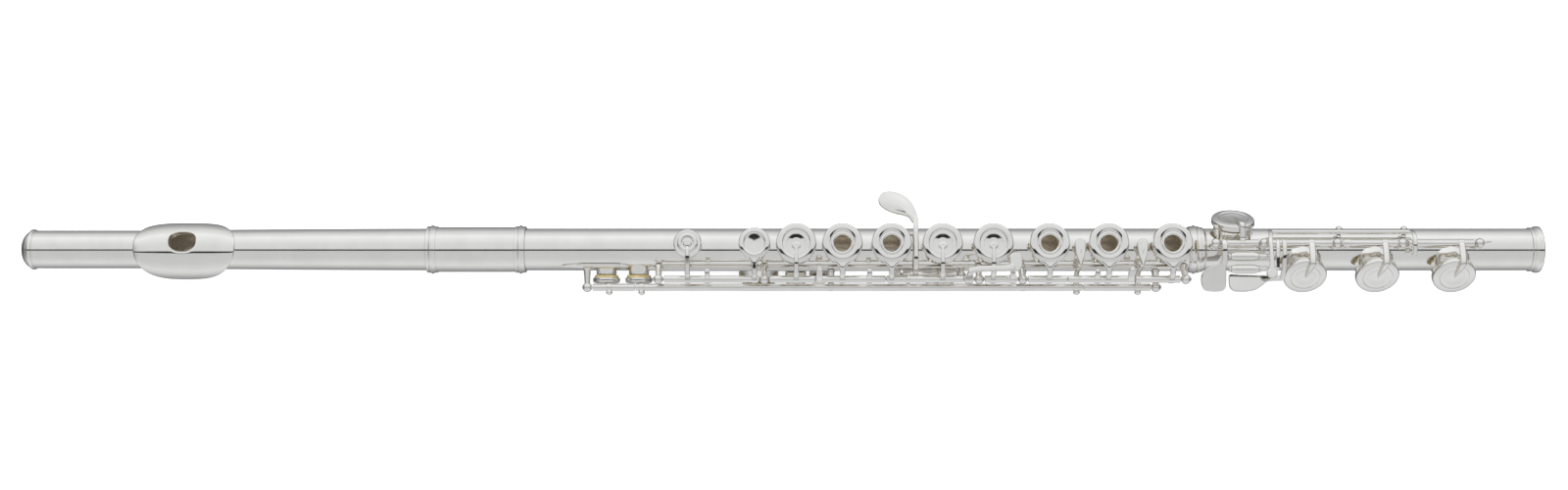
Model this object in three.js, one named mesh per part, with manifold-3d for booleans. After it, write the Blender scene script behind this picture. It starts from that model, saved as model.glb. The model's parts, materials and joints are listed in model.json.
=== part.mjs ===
// Concert flute with open-hole keys, in-line G and a B foot joint.
// Millimetres. +X runs from the crown to the open foot end, +Z is up through the key cups and
// +Y points away from the player. The hinge rods lie on the -Y side.
import * as THREE from 'three';
import { mergeVertices } from 'three/addons/utils/BufferGeometryUtils.js';
import Module from 'manifold-3d';

const wasm = await Module();
wasm.setup();

// ---------- Driving dimensions ----------
const GAP = 0.3; // clearance between neighbouring pieces
const FLUTE_START = -360.2; // crown tip
const FLUTE_END = 356.1; // open foot end
const WALL = 0.4;
const TUBE_R = 9.9; // outside of the body and foot tubes
const HEAD_END_R = 9.85; // head joint at its open end
const HEAD_CORK_R = 8.95; // head joint from the embouchure to the crown
const SLEEVE_IN_R = 10.2; // barrel and foot socket, inside
const SLEEVE_OUT_R = 10.6;
const RING_R = 11.6; // crest of the joint rings
const STEEL_R = 0.75;
const HINGE_IN_R = STEEL_R + GAP;
const HINGE_R = 1.65;
const ARM_T = 1.3;
const PAD_T = 2.2;
const CUP_H = 3.8;
const CUP_WALL = 0.6;
const LIFT_DEG = 9; // how far an open key stands above its tone hole

const LONG_SEGMENTS = 24;
const CUP_SEGMENTS = 16;
const ROD_SEGMENTS = 8;

// Tone hole sizes: cup radius, chimney radius, hole radius and rim distance from the bore axis.
const LARGE = { cup: 9.45, chimney: 8.2, hole: 7.6, rim: 12.3 };
const TOUCH = { cup: 7.45, chimney: 5.9, hole: 5.3, rim: 12.3 };
const SMALL = { cup: 6.6, chimney: 5.0, hole: 4.4, rim: 12.3 };
const TRILL = { cup: 6.35, chimney: 4.7, hole: 4.1, rim: 12.0 };
const FOOT = { cup: 10.1, chimney: 8.7, hole: 8.1, rim: 12.5 };
const FINGER_HOLE_R = 3.9;

// Hinge rods, as the Y and Z of each axis.
const STACK_ROD = { y: -16.4, z: 9 };
const TRILL_ROD = { y: -18.7, z: 2 };
const G_SHARP_ROD = { y: -12.8, z: 3 };
const THUMB_ROD = { y: 8, z: -12.6 };
const FOOT_ROD = { y: -0.5, z: 14.9 };
const B_LEVER_ROD = { y: 5.6, z: 11.7 };

// Stations along the tube.
const EMBOUCHURE_X = -281;
const HOLE = { halfLength: 6.4, halfWidth: 5.1 }; // the embouchure hole
const BARREL = { start: -168.3, end: -121.5, rings: [-165.9, -123.9] };
const FOOT_SOCKET = { start: 190.1, end: 197.5 };
const TENON_END = 196.5;
const X = {
  cSharp: -44.9, c: -13.8, thumb: -12.1, bFlat: 5.7, a: 27.2, gUpper: 50.1, gLower: 73.8,
  fSharp: 97.4, f: 123.6, e: 151.1, d: 180.8, dSharpTrill: -83.7, dTrill: -68.4,
  dSharpFoot: 210.7, cSharpFoot: 243.3, cFoot: 277.1, bFoot: 312.9,
};
const BACK_ANGLE = -145; // thumb and G sharp tone holes, from +Z towards +Y
const TRILL_ANGLE = -100;
const FOOT_ANGLE = -64; // C sharp, C and B of the foot joint
const D_SHARP_ANGLE = 52;
const STACK_POSTS = [-58.7, -9.2, 91.1, 111.4, 187.5];
const TRILL_POSTS = [-92.3, 174.5];

// ---------- Materials ----------
const finish = (color, roughness, metalness) =>
  new THREE.MeshStandardMaterial({ color, roughness, metalness });
const silver = finish(0xe6e6e2, 0.12, 1);
const steel = finish(0xb4b6b8, 0.3, 1);
const padSkin = finish(0xb39a63, 0.6, 0);
const cork = finish(0xa57a4e, 0.9, 0);

// ---------- Solids ----------
const radians = THREE.MathUtils.degToRad;
const at = (x, y, z) => new THREE.Vector3(x, y, z);

/** The point at a distance from the bore axis, at an angle from +Z towards +Y. */
const polar = (x, radius, angle) =>
  at(x, radius * Math.sin(radians(angle)), radius * Math.cos(radians(angle)));

/** A closed geometry as a manifold solid, turned right side out. */
function solid(geometry) {
  const bare = geometry.index ? geometry.toNonIndexed() : geometry.clone();
  bare.deleteAttribute('normal');
  bare.deleteAttribute('uv');
  const merged = mergeVertices(bare, 1e-4);
  const corners = merged.index.array;
  const build = (flip) => {
    const kept = [];
    for (let i = 0; i < corners.length; i += 3) {
      const [a, b, c] = [corners[i], corners[i + 1], corners[i + 2]];
      if (a !== b && b !== c && c !== a) kept.push(...(flip ? [a, c, b] : [a, b, c]));
    }
    return new wasm.Manifold(new wasm.Mesh({
      numProp: 3,
      vertProperties: new Float32Array(merged.attributes.position.array),
      triVerts: new Uint32Array(kept),
    }));
  };
  const made = build(false);
  return made.volume() < 0 ? build(true) : made;
}

const join = (...solids) => solids.flat().reduce((all, one) => all.add(one));
const cut = (from, ...cutters) => cutters.flat().reduce((left, one) => left.subtract(one), from);

/** A profile of [radius, station] pairs spun about a line along X. */
function spinX(profile, segments = LONG_SEGMENTS, line = { y: 0, z: 0 }) {
  const points = profile.map(([radius, x]) => new THREE.Vector2(radius, x));
  const geometry = new THREE.LatheGeometry(points, segments);
  return solid(geometry.rotateZ(-Math.PI / 2).translate(0, line.y, line.z));
}

const rodX = (x0, x1, radius, line, segments = ROD_SEGMENTS) =>
  spinX([[0, x0], [radius, x0], [radius, x1], [0, x1]], segments, line);

const tubeX = (x0, x1, outer, inner, line, segments = ROD_SEGMENTS) =>
  spinX([[inner, x0], [outer, x0], [outer, x1], [inner, x1], [inner, x0]], segments, line);

/** A profile of [radius, height] pairs spun about the outward normal at a station and angle. */
function spinOut(profile, x, angle, segments = CUP_SEGMENTS) {
  const points = profile.map(([radius, height]) => new THREE.Vector2(radius, height));
  const geometry = new THREE.LatheGeometry(points, segments);
  geometry.rotateX(Math.PI / 2).rotateX(-radians(angle));
  return solid(geometry.translate(x, 0, 0));
}

/** A round bar between two points. */
function bar(from, to, radius, segments = 6, endRadius = radius) {
  const along = to.clone().sub(from);
  const geometry = new THREE.CylinderGeometry(endRadius, radius, along.length(), segments);
  geometry.applyQuaternion(
    new THREE.Quaternion().setFromUnitVectors(at(0, 1, 0), along.clone().normalize()));
  const middle = from.clone().add(to).multiplyScalar(0.5);
  return solid(geometry.translate(middle.x, middle.y, middle.z));
}

function ball(centre, radius) {
  const geometry = new THREE.SphereGeometry(radius, 8, 4);
  return solid(geometry.translate(centre.x, centre.y, centre.z));
}

/** A flat bar through points, with a width at each along the side direction. */
function ribbon(points, widths, thickness = ARM_T, side = at(1, 0, 0)) {
  const corners = [];
  points.forEach((point, i) => {
    const before = points[Math.max(i - 1, 0)];
    const after = points[Math.min(i + 1, points.length - 1)];
    const normal = after.clone().sub(before).cross(side).normalize();
    const across = side.clone().multiplyScalar(widths[i] / 2);
    const through = normal.multiplyScalar(thickness / 2);
    corners.push(
      point.clone().add(across).add(through), point.clone().sub(across).add(through),
      point.clone().sub(across).sub(through), point.clone().add(across).sub(through));
  });
  const faces = [0, 1, 2, 0, 2, 3];
  const last = 4 * (points.length - 1);
  faces.push(last, last + 2, last + 1, last, last + 3, last + 2);
  for (let i = 0; i < points.length - 1; i++) {
    for (let k = 0; k < 4; k++) {
      const [a, b] = [4 * i + k, 4 * i + ((k + 1) % 4)];
      faces.push(a, a + 4, b, b, a + 4, b + 4);
    }
  }
  const geometry = new THREE.BufferGeometry().setFromPoints(corners);
  geometry.setIndex(faces);
  return solid(geometry);
}

/** A strap lying on the tube between two angles, with tapered ends. */
function strap(x0, x1, angle0, angle1, inner = TUBE_R + 0.2, thickness = 0.9) {
  const steps = 3;
  const arc = (radius, from, to) => Array.from({ length: steps + 1 }, (_, i) => {
    const p = polar(0, radius, from + ((to - from) * i) / steps);
    return new THREE.Vector2(p.y, p.z);
  });
  const outline = [...arc(inner, angle0, angle1), ...arc(inner + thickness, angle1, angle0)];
  const geometry = new THREE.ExtrudeGeometry(new THREE.Shape(outline), {
    depth: x1 - x0, bevelEnabled: false,
  });
  // The outline is drawn in Y and Z, and it is pushed out along X.
  geometry.applyMatrix4(new THREE.Matrix4().makeBasis(at(0, 1, 0), at(0, 0, 1), at(1, 0, 0)));
  return solid(geometry.translate(x0, 0, 0));
}

/** A flat plate of an XY outline, laid at a place and tipped about X. */
function plate(outline, thickness, place, tip = 0) {
  const geometry = new THREE.ExtrudeGeometry(outline, {
    depth: thickness, bevelEnabled: false, curveSegments: 5,
  });
  geometry.translate(0, 0, -thickness / 2).rotateX(radians(tip));
  return solid(geometry.translate(place.x, place.y, place.z));
}

function roundedOutline(width, height, radius) {
  const [w, h] = [width / 2, height / 2];
  const shape = new THREE.Shape();
  shape.moveTo(-w + radius, -h).lineTo(w - radius, -h);
  shape.quadraticCurveTo(w, -h, w, -h + radius).lineTo(w, h - radius);
  shape.quadraticCurveTo(w, h, w - radius, h).lineTo(-w + radius, h);
  shape.quadraticCurveTo(-w, h, -w, h - radius).lineTo(-w, -h + radius);
  shape.quadraticCurveTo(-w, -h, -w + radius, -h);
  return shape;
}

// ---------- Scene graph ----------
const flute = new THREE.Group();
const design = new THREE.Group(); // everything, in the frame of the bore axis
flute.add(design);

function mesh(name, shape, material, group = design) {
  const { vertProperties, triVerts, numProp, numVert } = shape.getMesh();
  const points = new Float32Array(numVert * 3);
  for (let i = 0; i < numVert; i++) {
    points.set(vertProperties.subarray(i * numProp, i * numProp + 3), i * 3);
  }
  const geometry = new THREE.BufferGeometry();
  geometry.setAttribute('position', new THREE.BufferAttribute(points, 3));
  geometry.setIndex(new THREE.BufferAttribute(new Uint32Array(triVerts), 1));
  // The group turns about its own rod, so its shapes are stored relative to that rod.
  geometry.translate(0, -group.position.y, -group.position.z);
  const made = new THREE.Mesh(geometry, material);
  made.name = name;
  group.add(made);
}

/** A group that turns about a rod. Its shapes are drawn shut and stand open by the lift. */
function onRod(rod, lift = 0) {
  const group = new THREE.Group();
  group.position.set(0, rod.y, rod.z);
  group.rotation.x = radians(lift);
  design.add(group);
  return group;
}

// ---------- Key parts ----------
const PAD_FLOOR = 0.2; // a shut pad stops this far above the rim

/** The cup over a tone hole, with its top ring and, on an open-hole key, its finger hole. */
function cup(size, x, angle, open = false) {
  const base = size.rim + PAD_FLOOR;
  const r = size.cup;
  const inner = open ? FINGER_HOLE_R : 0;
  const profile = [
    [inner, base + PAD_T + GAP], [r - CUP_WALL, base + PAD_T + GAP], [r - CUP_WALL, base + 0.6],
    [r, base + 0.6], [r, base + CUP_H - 0.7], [r - 0.8, base + CUP_H],
    [0.66 * r, base + CUP_H], [0.62 * r, base + CUP_H - 0.4], [inner, base + CUP_H - 0.4],
  ];
  if (open) profile.push(profile[0]);
  return spinOut(profile, x, angle);
}

function pad(size, x, angle, open = false) {
  const base = size.rim + PAD_FLOOR;
  const r = size.cup - CUP_WALL - GAP;
  const inner = open ? FINGER_HOLE_R : 0;
  const profile = [[inner, base], [r, base], [r, base + PAD_T], [inner, base + PAD_T]];
  if (open) profile.push(profile[0]);
  return spinOut(profile, x, angle);
}

/** Tapered arm that crosses a stack cup to its centre. */
const pointedArm = (x, size) => {
  const top = size.rim + PAD_FLOOR + CUP_H;
  return ribbon([
    at(x, STACK_ROD.y, STACK_ROD.z + 1), at(x, STACK_ROD.y + 0.9, top - 2.4),
    at(x, -size.cup - 1.2, top + 0.2), at(x, -size.cup + 1.8, top + 0.7), at(x, 0.6, top + 0.1),
  ], [2.8, 2.7, 2.5, 2.2, 1.0]);
};

/** Short arm that spreads into the side of an open-hole cup. */
const forkedArm = (x, size) => {
  const side = size.rim + PAD_FLOOR + PAD_T + GAP + 0.7;
  return ribbon([
    at(x, STACK_ROD.y, STACK_ROD.z + 1), at(x, STACK_ROD.y + 1.8, side - 1.4),
    at(x, -size.cup - 3.2, side), at(x, -size.cup - 0.8, side + 0.2), at(x, -size.cup + 2.2, side + 0.2),
  ], [2.8, 2.6, 3.2, 6.2, 11], 1.2);
};

/** Tail that meets the rib and stops the key when it is open. */
const kicker = (x) => ribbon([
  at(x, STACK_ROD.y + 0.9, STACK_ROD.z - 0.9), at(x, STACK_ROD.y + 1.9, STACK_ROD.z - 3.2),
], [2.2, 2.2], 1.2);

/** Block with an adjusting screw that links two keys of the stack. */
const clutch = (x) => join(
  ribbon([at(x, STACK_ROD.y, STACK_ROD.z + 1), at(x, STACK_ROD.y + 3.6, STACK_ROD.z + 4.4)],
    [3, 3], 2.2),
  bar(at(x, STACK_ROD.y + 3.4, STACK_ROD.z + 2.6), at(x, STACK_ROD.y + 3.4, STACK_ROD.z + 6.4), 1.1));

/** A stack key: hinge tube, arms, tails and cups in one piece, with its pads. */
function stackKey(name, from, to, cups, extras = []) {
  const group = onRod(STACK_ROD, LIFT_DEG);
  const pieces = cups.map(({ x, size, open, arm = x }) =>
    join(cup(size, x, 0, open), open ? forkedArm(arm, size) : pointedArm(arm, size)));
  const whole = join(rodX(from, to, HINGE_R, STACK_ROD), pieces, extras);
  mesh(name, cut(whole, rodX(from - 1, to + 1, HINGE_IN_R, STACK_ROD)), silver, group);
  cups.forEach(({ x, size, open, pad: padName }) =>
    mesh(padName, pad(size, x, 0, open), padSkin, group));
}

// ---------- Head joint ----------
function headTube() {
  const taper = Array.from({ length: 4 }, (_, i) => {
    const share = i / 3;
    return [HEAD_END_R - (HEAD_END_R - HEAD_CORK_R) * share ** 1.5, -168 - 135 * share];
  });
  const outside = [[HEAD_END_R, BARREL.end - 7.5], ...taper, [HEAD_CORK_R, -353.1]];
  const inside = outside.map(([radius, x]) => [radius - WALL, x]).reverse();
  const tube = spinX([...outside, ...inside, outside[0]]);
  return cut(tube, ovalPrism(HOLE.halfLength, HOLE.halfWidth, 0, 20));
}

/** An upright oval prism at the embouchure. */
function ovalPrism(halfLength, halfWidth, z0, z1) {
  const shape = new THREE.Shape().absellipse(0, 0, halfLength, halfWidth, 0, 2 * Math.PI);
  const geometry = new THREE.ExtrudeGeometry(shape, {
    depth: z1 - z0, bevelEnabled: false, curveSegments: 16,
  });
  return solid(geometry.translate(EMBOUCHURE_X, 0, z0));
}

const PLATE = {
  halfLength: 23.8, top: 13.2, skew: 0.95, drop: 2.6, spread: 89, turn: -3, thickness: 0.8,
};

/** Saddle-shaped plate: an oval outline bent round the tube, further out on the lip side. */
function lipPlate() {
  const sectors = 28;
  const shares = [0, 0.35, 0.7, 1];
  const rounded = (v) => Math.sign(v) * Math.abs(v) ** 0.83;
  const corner = (sector, share, drop) => {
    const t = (2 * Math.PI * sector) / sectors;
    const hole = [HOLE.halfLength * Math.cos(t), 23 * Math.sin(t)];
    const edge = [
      PLATE.halfLength * rounded(Math.cos(t)), PLATE.spread * rounded(Math.sin(t)) + PLATE.turn];
    const x = hole[0] + (edge[0] - hole[0]) * share;
    const angle = hole[1] + (edge[1] - hole[1]) * share;
    const crest = PLATE.top - PLATE.skew * Math.sin(radians(angle));
    const radius = crest - PLATE.drop * Math.abs(x / PLATE.halfLength) ** 3 - drop;
    return polar(EMBOUCHURE_X + x, radius, angle);
  };
  const rings = [...shares.map((s) => [s, 0]), ...shares.map((s) => [s, PLATE.thickness]).reverse()];
  const points = rings.flatMap(([share, drop]) =>
    Array.from({ length: sectors }, (_, sector) => corner(sector, share, drop)));
  const faces = [];
  rings.forEach((_, ring) => {
    const next = (ring + 1) % rings.length;
    for (let s = 0; s < sectors; s++) {
      const [a, b] = [ring * sectors + s, ring * sectors + ((s + 1) % sectors)];
      const [c, d] = [next * sectors + s, next * sectors + ((s + 1) % sectors)];
      faces.push(a, c, b, b, c, d);
    }
  });
  const geometry = new THREE.BufferGeometry().setFromPoints(points);
  geometry.setIndex(faces);
  return solid(geometry);
}

function embouchureRiser() {
  const wall = cut(
    ovalPrism(HOLE.halfLength + 1.7, HOLE.halfWidth + 1.5, 5, 16),
    ovalPrism(HOLE.halfLength, HOLE.halfWidth, 4, 17));
  const underPlate = PLATE.top - PLATE.thickness - 1;
  const inside = rodX(EMBOUCHURE_X - 12, EMBOUCHURE_X + 12, underPlate, undefined, 32);
  const tube = rodX(EMBOUCHURE_X - 12, EMBOUCHURE_X + 12, HEAD_CORK_R + 0.35, undefined, 32);
  return cut(wall.intersect(inside), tube);
}

function crown() {
  return spinX([
    [0, FLUTE_START], [4.6, FLUTE_START + 0.5], [7.4, FLUTE_START + 2.2],
    [8.7, FLUTE_START + 4.2], [9.7, FLUTE_START + 4.8], [9.7, FLUTE_START + 6.2],
    [8.2, FLUTE_START + 6.8], [8.2, FLUTE_START + 11], [1.9, FLUTE_START + 11],
    [1.9, FLUTE_START + 3.6], [0, FLUTE_START + 3.6]]);
}

const CORK_FACE = EMBOUCHURE_X - 17;
function buildHead() {
  mesh('head_tube', headTube(), silver);
  mesh('lip_plate', lipPlate(), silver);
  mesh('embouchure_riser', embouchureRiser(), silver);
  mesh('crown', crown(), silver);
  const boreR = HEAD_CORK_R - WALL - GAP;
  mesh('stopper_screw', join(
    rodX(CORK_FACE - 1.2, CORK_FACE, boreR, undefined, 24),
    rodX(FLUTE_START + 5.4, CORK_FACE - 0.6, 1.5, undefined, 12)), steel);
  mesh('stopper_cork', tubeX(CORK_FACE - 19, CORK_FACE - 1.5, boreR, 1.8, undefined, 24), cork);
  mesh('stopper_nut', tubeX(CORK_FACE - 21, CORK_FACE - 19.3, boreR - 1, 1.8, undefined, 16), steel);
}

// ---------- Body ----------
/** Outline of a joint ring with a sharp crest, for a sleeve of the given radii. */
const ringProfile = (x, base, crest) => [
  [base, x - 2.4], [base + 0.5, x - 1.2], [crest, x], [base + 0.5, x + 1.2], [base, x + 2.4],
];

function barrel() {
  const [upper, lower] = BARREL.rings;
  return spinX([
    [SLEEVE_IN_R, BARREL.start], ...ringProfile(upper, SLEEVE_OUT_R, RING_R),
    ...ringProfile(lower, SLEEVE_OUT_R, RING_R), [SLEEVE_IN_R, BARREL.end],
    [SLEEVE_IN_R, BARREL.start]]);
}

const chimney = (x, angle, size) => spinOut(
  [[0, 4], [size.chimney, 4], [size.chimney, size.rim], [0, size.rim]], x, angle);
const bored = (x, angle, size) => spinOut([[0, 3], [size.hole, 3], [size.hole, 20], [0, 20]], x, angle);

const BODY_HOLES = [
  [X.cSharp, 0, SMALL], [X.c, 0, TOUCH], [X.bFlat, 0, LARGE], [X.a, 0, LARGE],
  [X.gUpper, 0, LARGE], [X.gLower, 0, LARGE], [X.fSharp, 0, LARGE], [X.f, 0, LARGE],
  [X.e, 0, LARGE], [X.d, 0, LARGE], [X.thumb, BACK_ANGLE, LARGE], [X.gLower, BACK_ANGLE, LARGE],
  [X.dSharpTrill, TRILL_ANGLE, TRILL], [X.dTrill, TRILL_ANGLE, TRILL],
];
const FOOT_HOLES = [
  [X.dSharpFoot, D_SHARP_ANGLE, FOOT], [X.cSharpFoot, FOOT_ANGLE, FOOT],
  [X.cFoot, FOOT_ANGLE, FOOT], [X.bFoot, FOOT_ANGLE, FOOT],
];

/** A tube with its chimneys standing on it and every hole open to the bore. */
function pierced(outside, bore, holes) {
  return cut(join(outside, holes.map((hole) => chimney(...hole))), bore,
    holes.map((hole) => bored(...hole)));
}

/** A post from the strap to a ball through which the steel passes. */
function post(x, rod, footAngle, ballR = 2.2, shankR = 1.1) {
  const centre = at(x, rod.y, rod.z);
  const foot = polar(x, TUBE_R + 0.9, footAngle);
  return join(bar(foot, centre, shankR + 0.5, 6, shankR), ball(centre, ballR));
}

const boreFor = (x, rod, reach = 3) => rodX(x - reach, x + reach, HINGE_IN_R, rod);

function mainRib() {
  const posts = STACK_POSTS.map((x) => post(x, STACK_ROD, -66));
  const trillPosts = [22, 112].map((x) => post(x, TRILL_ROD, -80, 2.4));
  const endPost = post(TRILL_POSTS[1], TRILL_ROD, -80);
  const gPosts = [53.4, 83.2].map((x) => post(x, G_SHARP_ROD, -78, 1.9));
  const bores = [
    ...STACK_POSTS.map((x) => boreFor(x, STACK_ROD)),
    ...[22, 112].map((x) => rodX(x - 4, x + 4, HINGE_R + 0.15, TRILL_ROD)),
    boreFor(TRILL_POSTS[1], TRILL_ROD), ...[53.4, 83.2].map((x) => boreFor(x, G_SHARP_ROD)),
  ];
  return cut(join(strap(-64, 189.5, -84, -61), posts, trillPosts, endPost, gPosts), bores);
}

const trillRib = () => cut(
  join(strap(-104, -73, -69, -55), post(TRILL_POSTS[0], TRILL_ROD, -66)),
  boreFor(TRILL_POSTS[0], TRILL_ROD));

const THUMB_POSTS = [-26.5, 25.5];
const backRib = () => cut(
  join(strap(-31, 30, 140, 156), THUMB_POSTS.map((x) => post(x, THUMB_ROD, 148, 1.9))),
  THUMB_POSTS.map((x) => boreFor(x, THUMB_ROD)));

function buildBody() {
  const outside = rodX(BARREL.end - 7, TENON_END, TUBE_R, undefined, LONG_SEGMENTS);
  const bore = rodX(BARREL.end - 9, TENON_END + 2, TUBE_R - WALL, undefined, LONG_SEGMENTS);
  mesh('body_tube', pierced(outside, bore, BODY_HOLES), silver);
  mesh('barrel', barrel(), silver);
  mesh('main_rib', mainRib(), silver);
  mesh('trill_rib', trillRib(), silver);
  mesh('back_rib', backRib(), silver);
  mesh('upper_steel', rodX(-61.4, 91.0, STEEL_R, STACK_ROD), steel);
  mesh('lower_steel', rodX(91.4, 190.2, STEEL_R, STACK_ROD), steel);
  mesh('g_sharp_steel', rodX(51.4, 85.2, STEEL_R, G_SHARP_ROD), steel);
  mesh('thumb_steel', rodX(-28.6, 27.6, STEEL_R, THUMB_ROD), steel);
}

function buildStack() {
  stackKey('c_key', -56, -11.8, [
    { x: X.cSharp, size: SMALL, pad: 'c_sharp_pad' },
    { x: X.c, size: TOUCH, pad: 'c_pad' }], kicker(-35.8));
  stackKey('b_flat_key', -6.6, 14.4, [{ x: X.bFlat, size: LARGE, pad: 'b_flat_pad' }]);
  stackKey('a_key', 14.9, 47.4, [{ x: X.a, size: LARGE, open: true, pad: 'a_pad' }],
    [clutch(16.5), kicker(39.9)]);
  stackKey('g_key', 47.9, 83.6, [
    { x: X.gUpper, size: LARGE, open: true, pad: 'g_upper_pad' },
    { x: X.gLower, size: LARGE, pad: 'g_lower_pad' }]);
  stackKey('f_sharp_key', 93.8, 108.7, [{ x: X.fSharp, size: LARGE, pad: 'f_sharp_pad' }],
    kicker(106.7));
  stackKey('f_key', 114.1, 132, [{ x: X.f, size: LARGE, open: true, pad: 'f_pad' }]);
  stackKey('e_key', 132.5, 163.6, [{ x: X.e, size: LARGE, open: true, pad: 'e_pad' }],
    [clutch(161.9), kicker(146.2)]);
  stackKey('d_key', 164.1, 184.9, [{ x: X.d, size: LARGE, open: true, pad: 'd_pad' }]);
}

// ---------- Trill keys ----------
function teardrop(length, width) {
  const shape = new THREE.Shape();
  const r = width / 2;
  shape.moveTo(0, -length / 2).quadraticCurveTo(r, -length * 0.1, r, length / 2 - r);
  shape.quadraticCurveTo(r, length / 2, 0, length / 2);
  shape.quadraticCurveTo(-r, length / 2, -r, length / 2 - r);
  shape.quadraticCurveTo(-r, -length * 0.1, 0, -length / 2);
  return shape;
}

/** Arm from the trill rod, under the stack rod, up to its teardrop touch between two cups. */
const trillTouch = (armX, touchX) => join(
  ribbon([
    at(armX, TRILL_ROD.y + 0.6, TRILL_ROD.z), at(armX, -14.6, 2.4), at(armX, -12.4, 6.5),
    at(touchX, -10.4, 12.2), at(touchX, -6.5, 14.9),
  ], [2.6, 2.4, 2.2, 2.2, 2.2]),
  plate(teardrop(12.6, 5.4), 1.8, at(touchX, -3.2, 15.3), 3));

const trillArm = (x, armX) => {
  const back = polar(x, TRILL.rim + PAD_FLOOR + CUP_H, TRILL_ANGLE);
  return ribbon([
    at(armX, TRILL_ROD.y - 1, TRILL_ROD.z - 0.6), at(armX, TRILL_ROD.y - 0.4, -2.2),
    at(x, back.y + 0.7, back.z - 0.2)], [2.6, 2.4, 2.4]);
};

function buildTrills() {
  const steelThrough = rodX(TRILL_POSTS[0] - 2.6, TRILL_POSTS[1] + 2.6, STEEL_R, TRILL_ROD);
  const sharp = onRod(TRILL_ROD);
  mesh('d_sharp_trill_key', join(
    steelThrough, rodX(-89.8, -70.1, HINGE_R, TRILL_ROD), rodX(140.6, 172, HINGE_R, TRILL_ROD),
    cup(TRILL, X.dSharpTrill, TRILL_ANGLE), trillArm(X.dSharpTrill, -82),
    trillTouch(165.9, 167)), silver, sharp);
  mesh('d_sharp_trill_pad', pad(TRILL, X.dSharpTrill, TRILL_ANGLE), padSkin, sharp);
  const natural = onRod(TRILL_ROD);
  mesh('d_trill_key', cut(join(
    rodX(-69.6, 140.1, HINGE_R, TRILL_ROD), cup(TRILL, X.dTrill, TRILL_ANGLE),
    trillArm(X.dTrill, -66.8), trillTouch(137.2, 138)),
  rodX(-71, 142, HINGE_IN_R, TRILL_ROD)), silver, natural);
  mesh('d_trill_pad', pad(TRILL, X.dTrill, TRILL_ANGLE), padSkin, natural);
}

// ---------- G sharp, thumb and B flat levers ----------
function buildGSharp() {
  const group = onRod(G_SHARP_ROD);
  const back = polar(X.gLower, LARGE.rim + PAD_FLOOR + CUP_H, BACK_ANGLE);
  const leverX = 61.6;
  const lever = ribbon([
    at(leverX, G_SHARP_ROD.y, G_SHARP_ROD.z + 0.8), at(leverX, -12.6, 7.5), at(leverX, -9.6, 11.8),
    at(leverX, -3, 13.4), at(leverX, 6, 13.2), at(leverX, 13.5, 11.6), at(leverX - 0.6, 17, 10.8),
  ], [2.6, 2.4, 2.3, 2.3, 2.4, 3.2, 4.6], 1.4);
  const spatula = new THREE.Shape();
  spatula.moveTo(2.2, -7.2).quadraticCurveTo(1.8, 2.2, -5.2, 5.6).quadraticCurveTo(-9, 7, -13, 6.8);
  spatula.quadraticCurveTo(-16.6, 6.2, -16.2, 2.6).quadraticCurveTo(-15.4, -1.4, -8.6, -3.2);
  spatula.quadraticCurveTo(-3, -4.2, -2.6, -7.2);
  const arm = ribbon([
    at(X.gLower, G_SHARP_ROD.y - 0.4, G_SHARP_ROD.z - 0.6), at(X.gLower, -15.8, -0.2),
    at(X.gLower, -18.6, -4.2), at(X.gLower, back.y - 4.4, back.z + 2.6),
    at(X.gLower, back.y, back.z)], [3, 2.8, 2.6, 2.2, 1.4]);
  mesh('g_sharp_key', cut(join(
    rodX(55.8, 80.8, HINGE_R, G_SHARP_ROD), lever, plate(spatula, 1.5, at(60.8, 20.8, 10.2), -8),
    cup(LARGE, X.gLower, BACK_ANGLE), arm), rodX(54, 82, HINGE_IN_R, G_SHARP_ROD)), silver, group);
  mesh('g_sharp_pad', pad(LARGE, X.gLower, BACK_ANGLE), padSkin, group);
}

function buildThumbKeys() {
  const group = onRod(THUMB_ROD, LIFT_DEG);
  const back = polar(X.thumb, LARGE.rim + PAD_FLOOR + CUP_H, BACK_ANGLE);
  const arm = ribbon([
    at(X.thumb, THUMB_ROD.y - 0.6, THUMB_ROD.z - 0.8), at(X.thumb, THUMB_ROD.y - 4.4, -17),
    at(X.thumb, -0.6, -18.6), at(X.thumb, back.y, back.z)], [3, 2.8, 2.6, 1.4]);
  const touchArm = ribbon([
    at(6, THUMB_ROD.y - 0.4, THUMB_ROD.z - 0.8), at(6, 1, -16.6), at(6, -3, -17.2)], [3, 3, 3]);
  mesh('thumb_b_key', cut(join(
    rodX(-23.8, 11.2, HINGE_R, THUMB_ROD), cup(LARGE, X.thumb, BACK_ANGLE), arm, touchArm,
    plate(roundedOutline(10, 14, 4), 1.6, at(5.6, -8, -15.8), -16)),
  rodX(-25, 13, HINGE_IN_R, THUMB_ROD)), silver, group);
  mesh('thumb_b_pad', pad(LARGE, X.thumb, BACK_ANGLE), padSkin, group);
  const lever = onRod(THUMB_ROD, 3);
  mesh('thumb_b_flat_lever', cut(join(
    rodX(11.7, 22.9, HINGE_R, THUMB_ROD),
    ribbon([at(17, THUMB_ROD.y - 0.4, THUMB_ROD.z - 0.8), at(17, 1, -17), at(17, -3, -17.8)],
      [3, 3, 3]),
    plate(roundedOutline(9, 12, 3.6), 1.6, at(16.6, -7.4, -16.6), -14)),
  rodX(10, 24, HINGE_IN_R, THUMB_ROD)), silver, lever);
}

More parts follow.
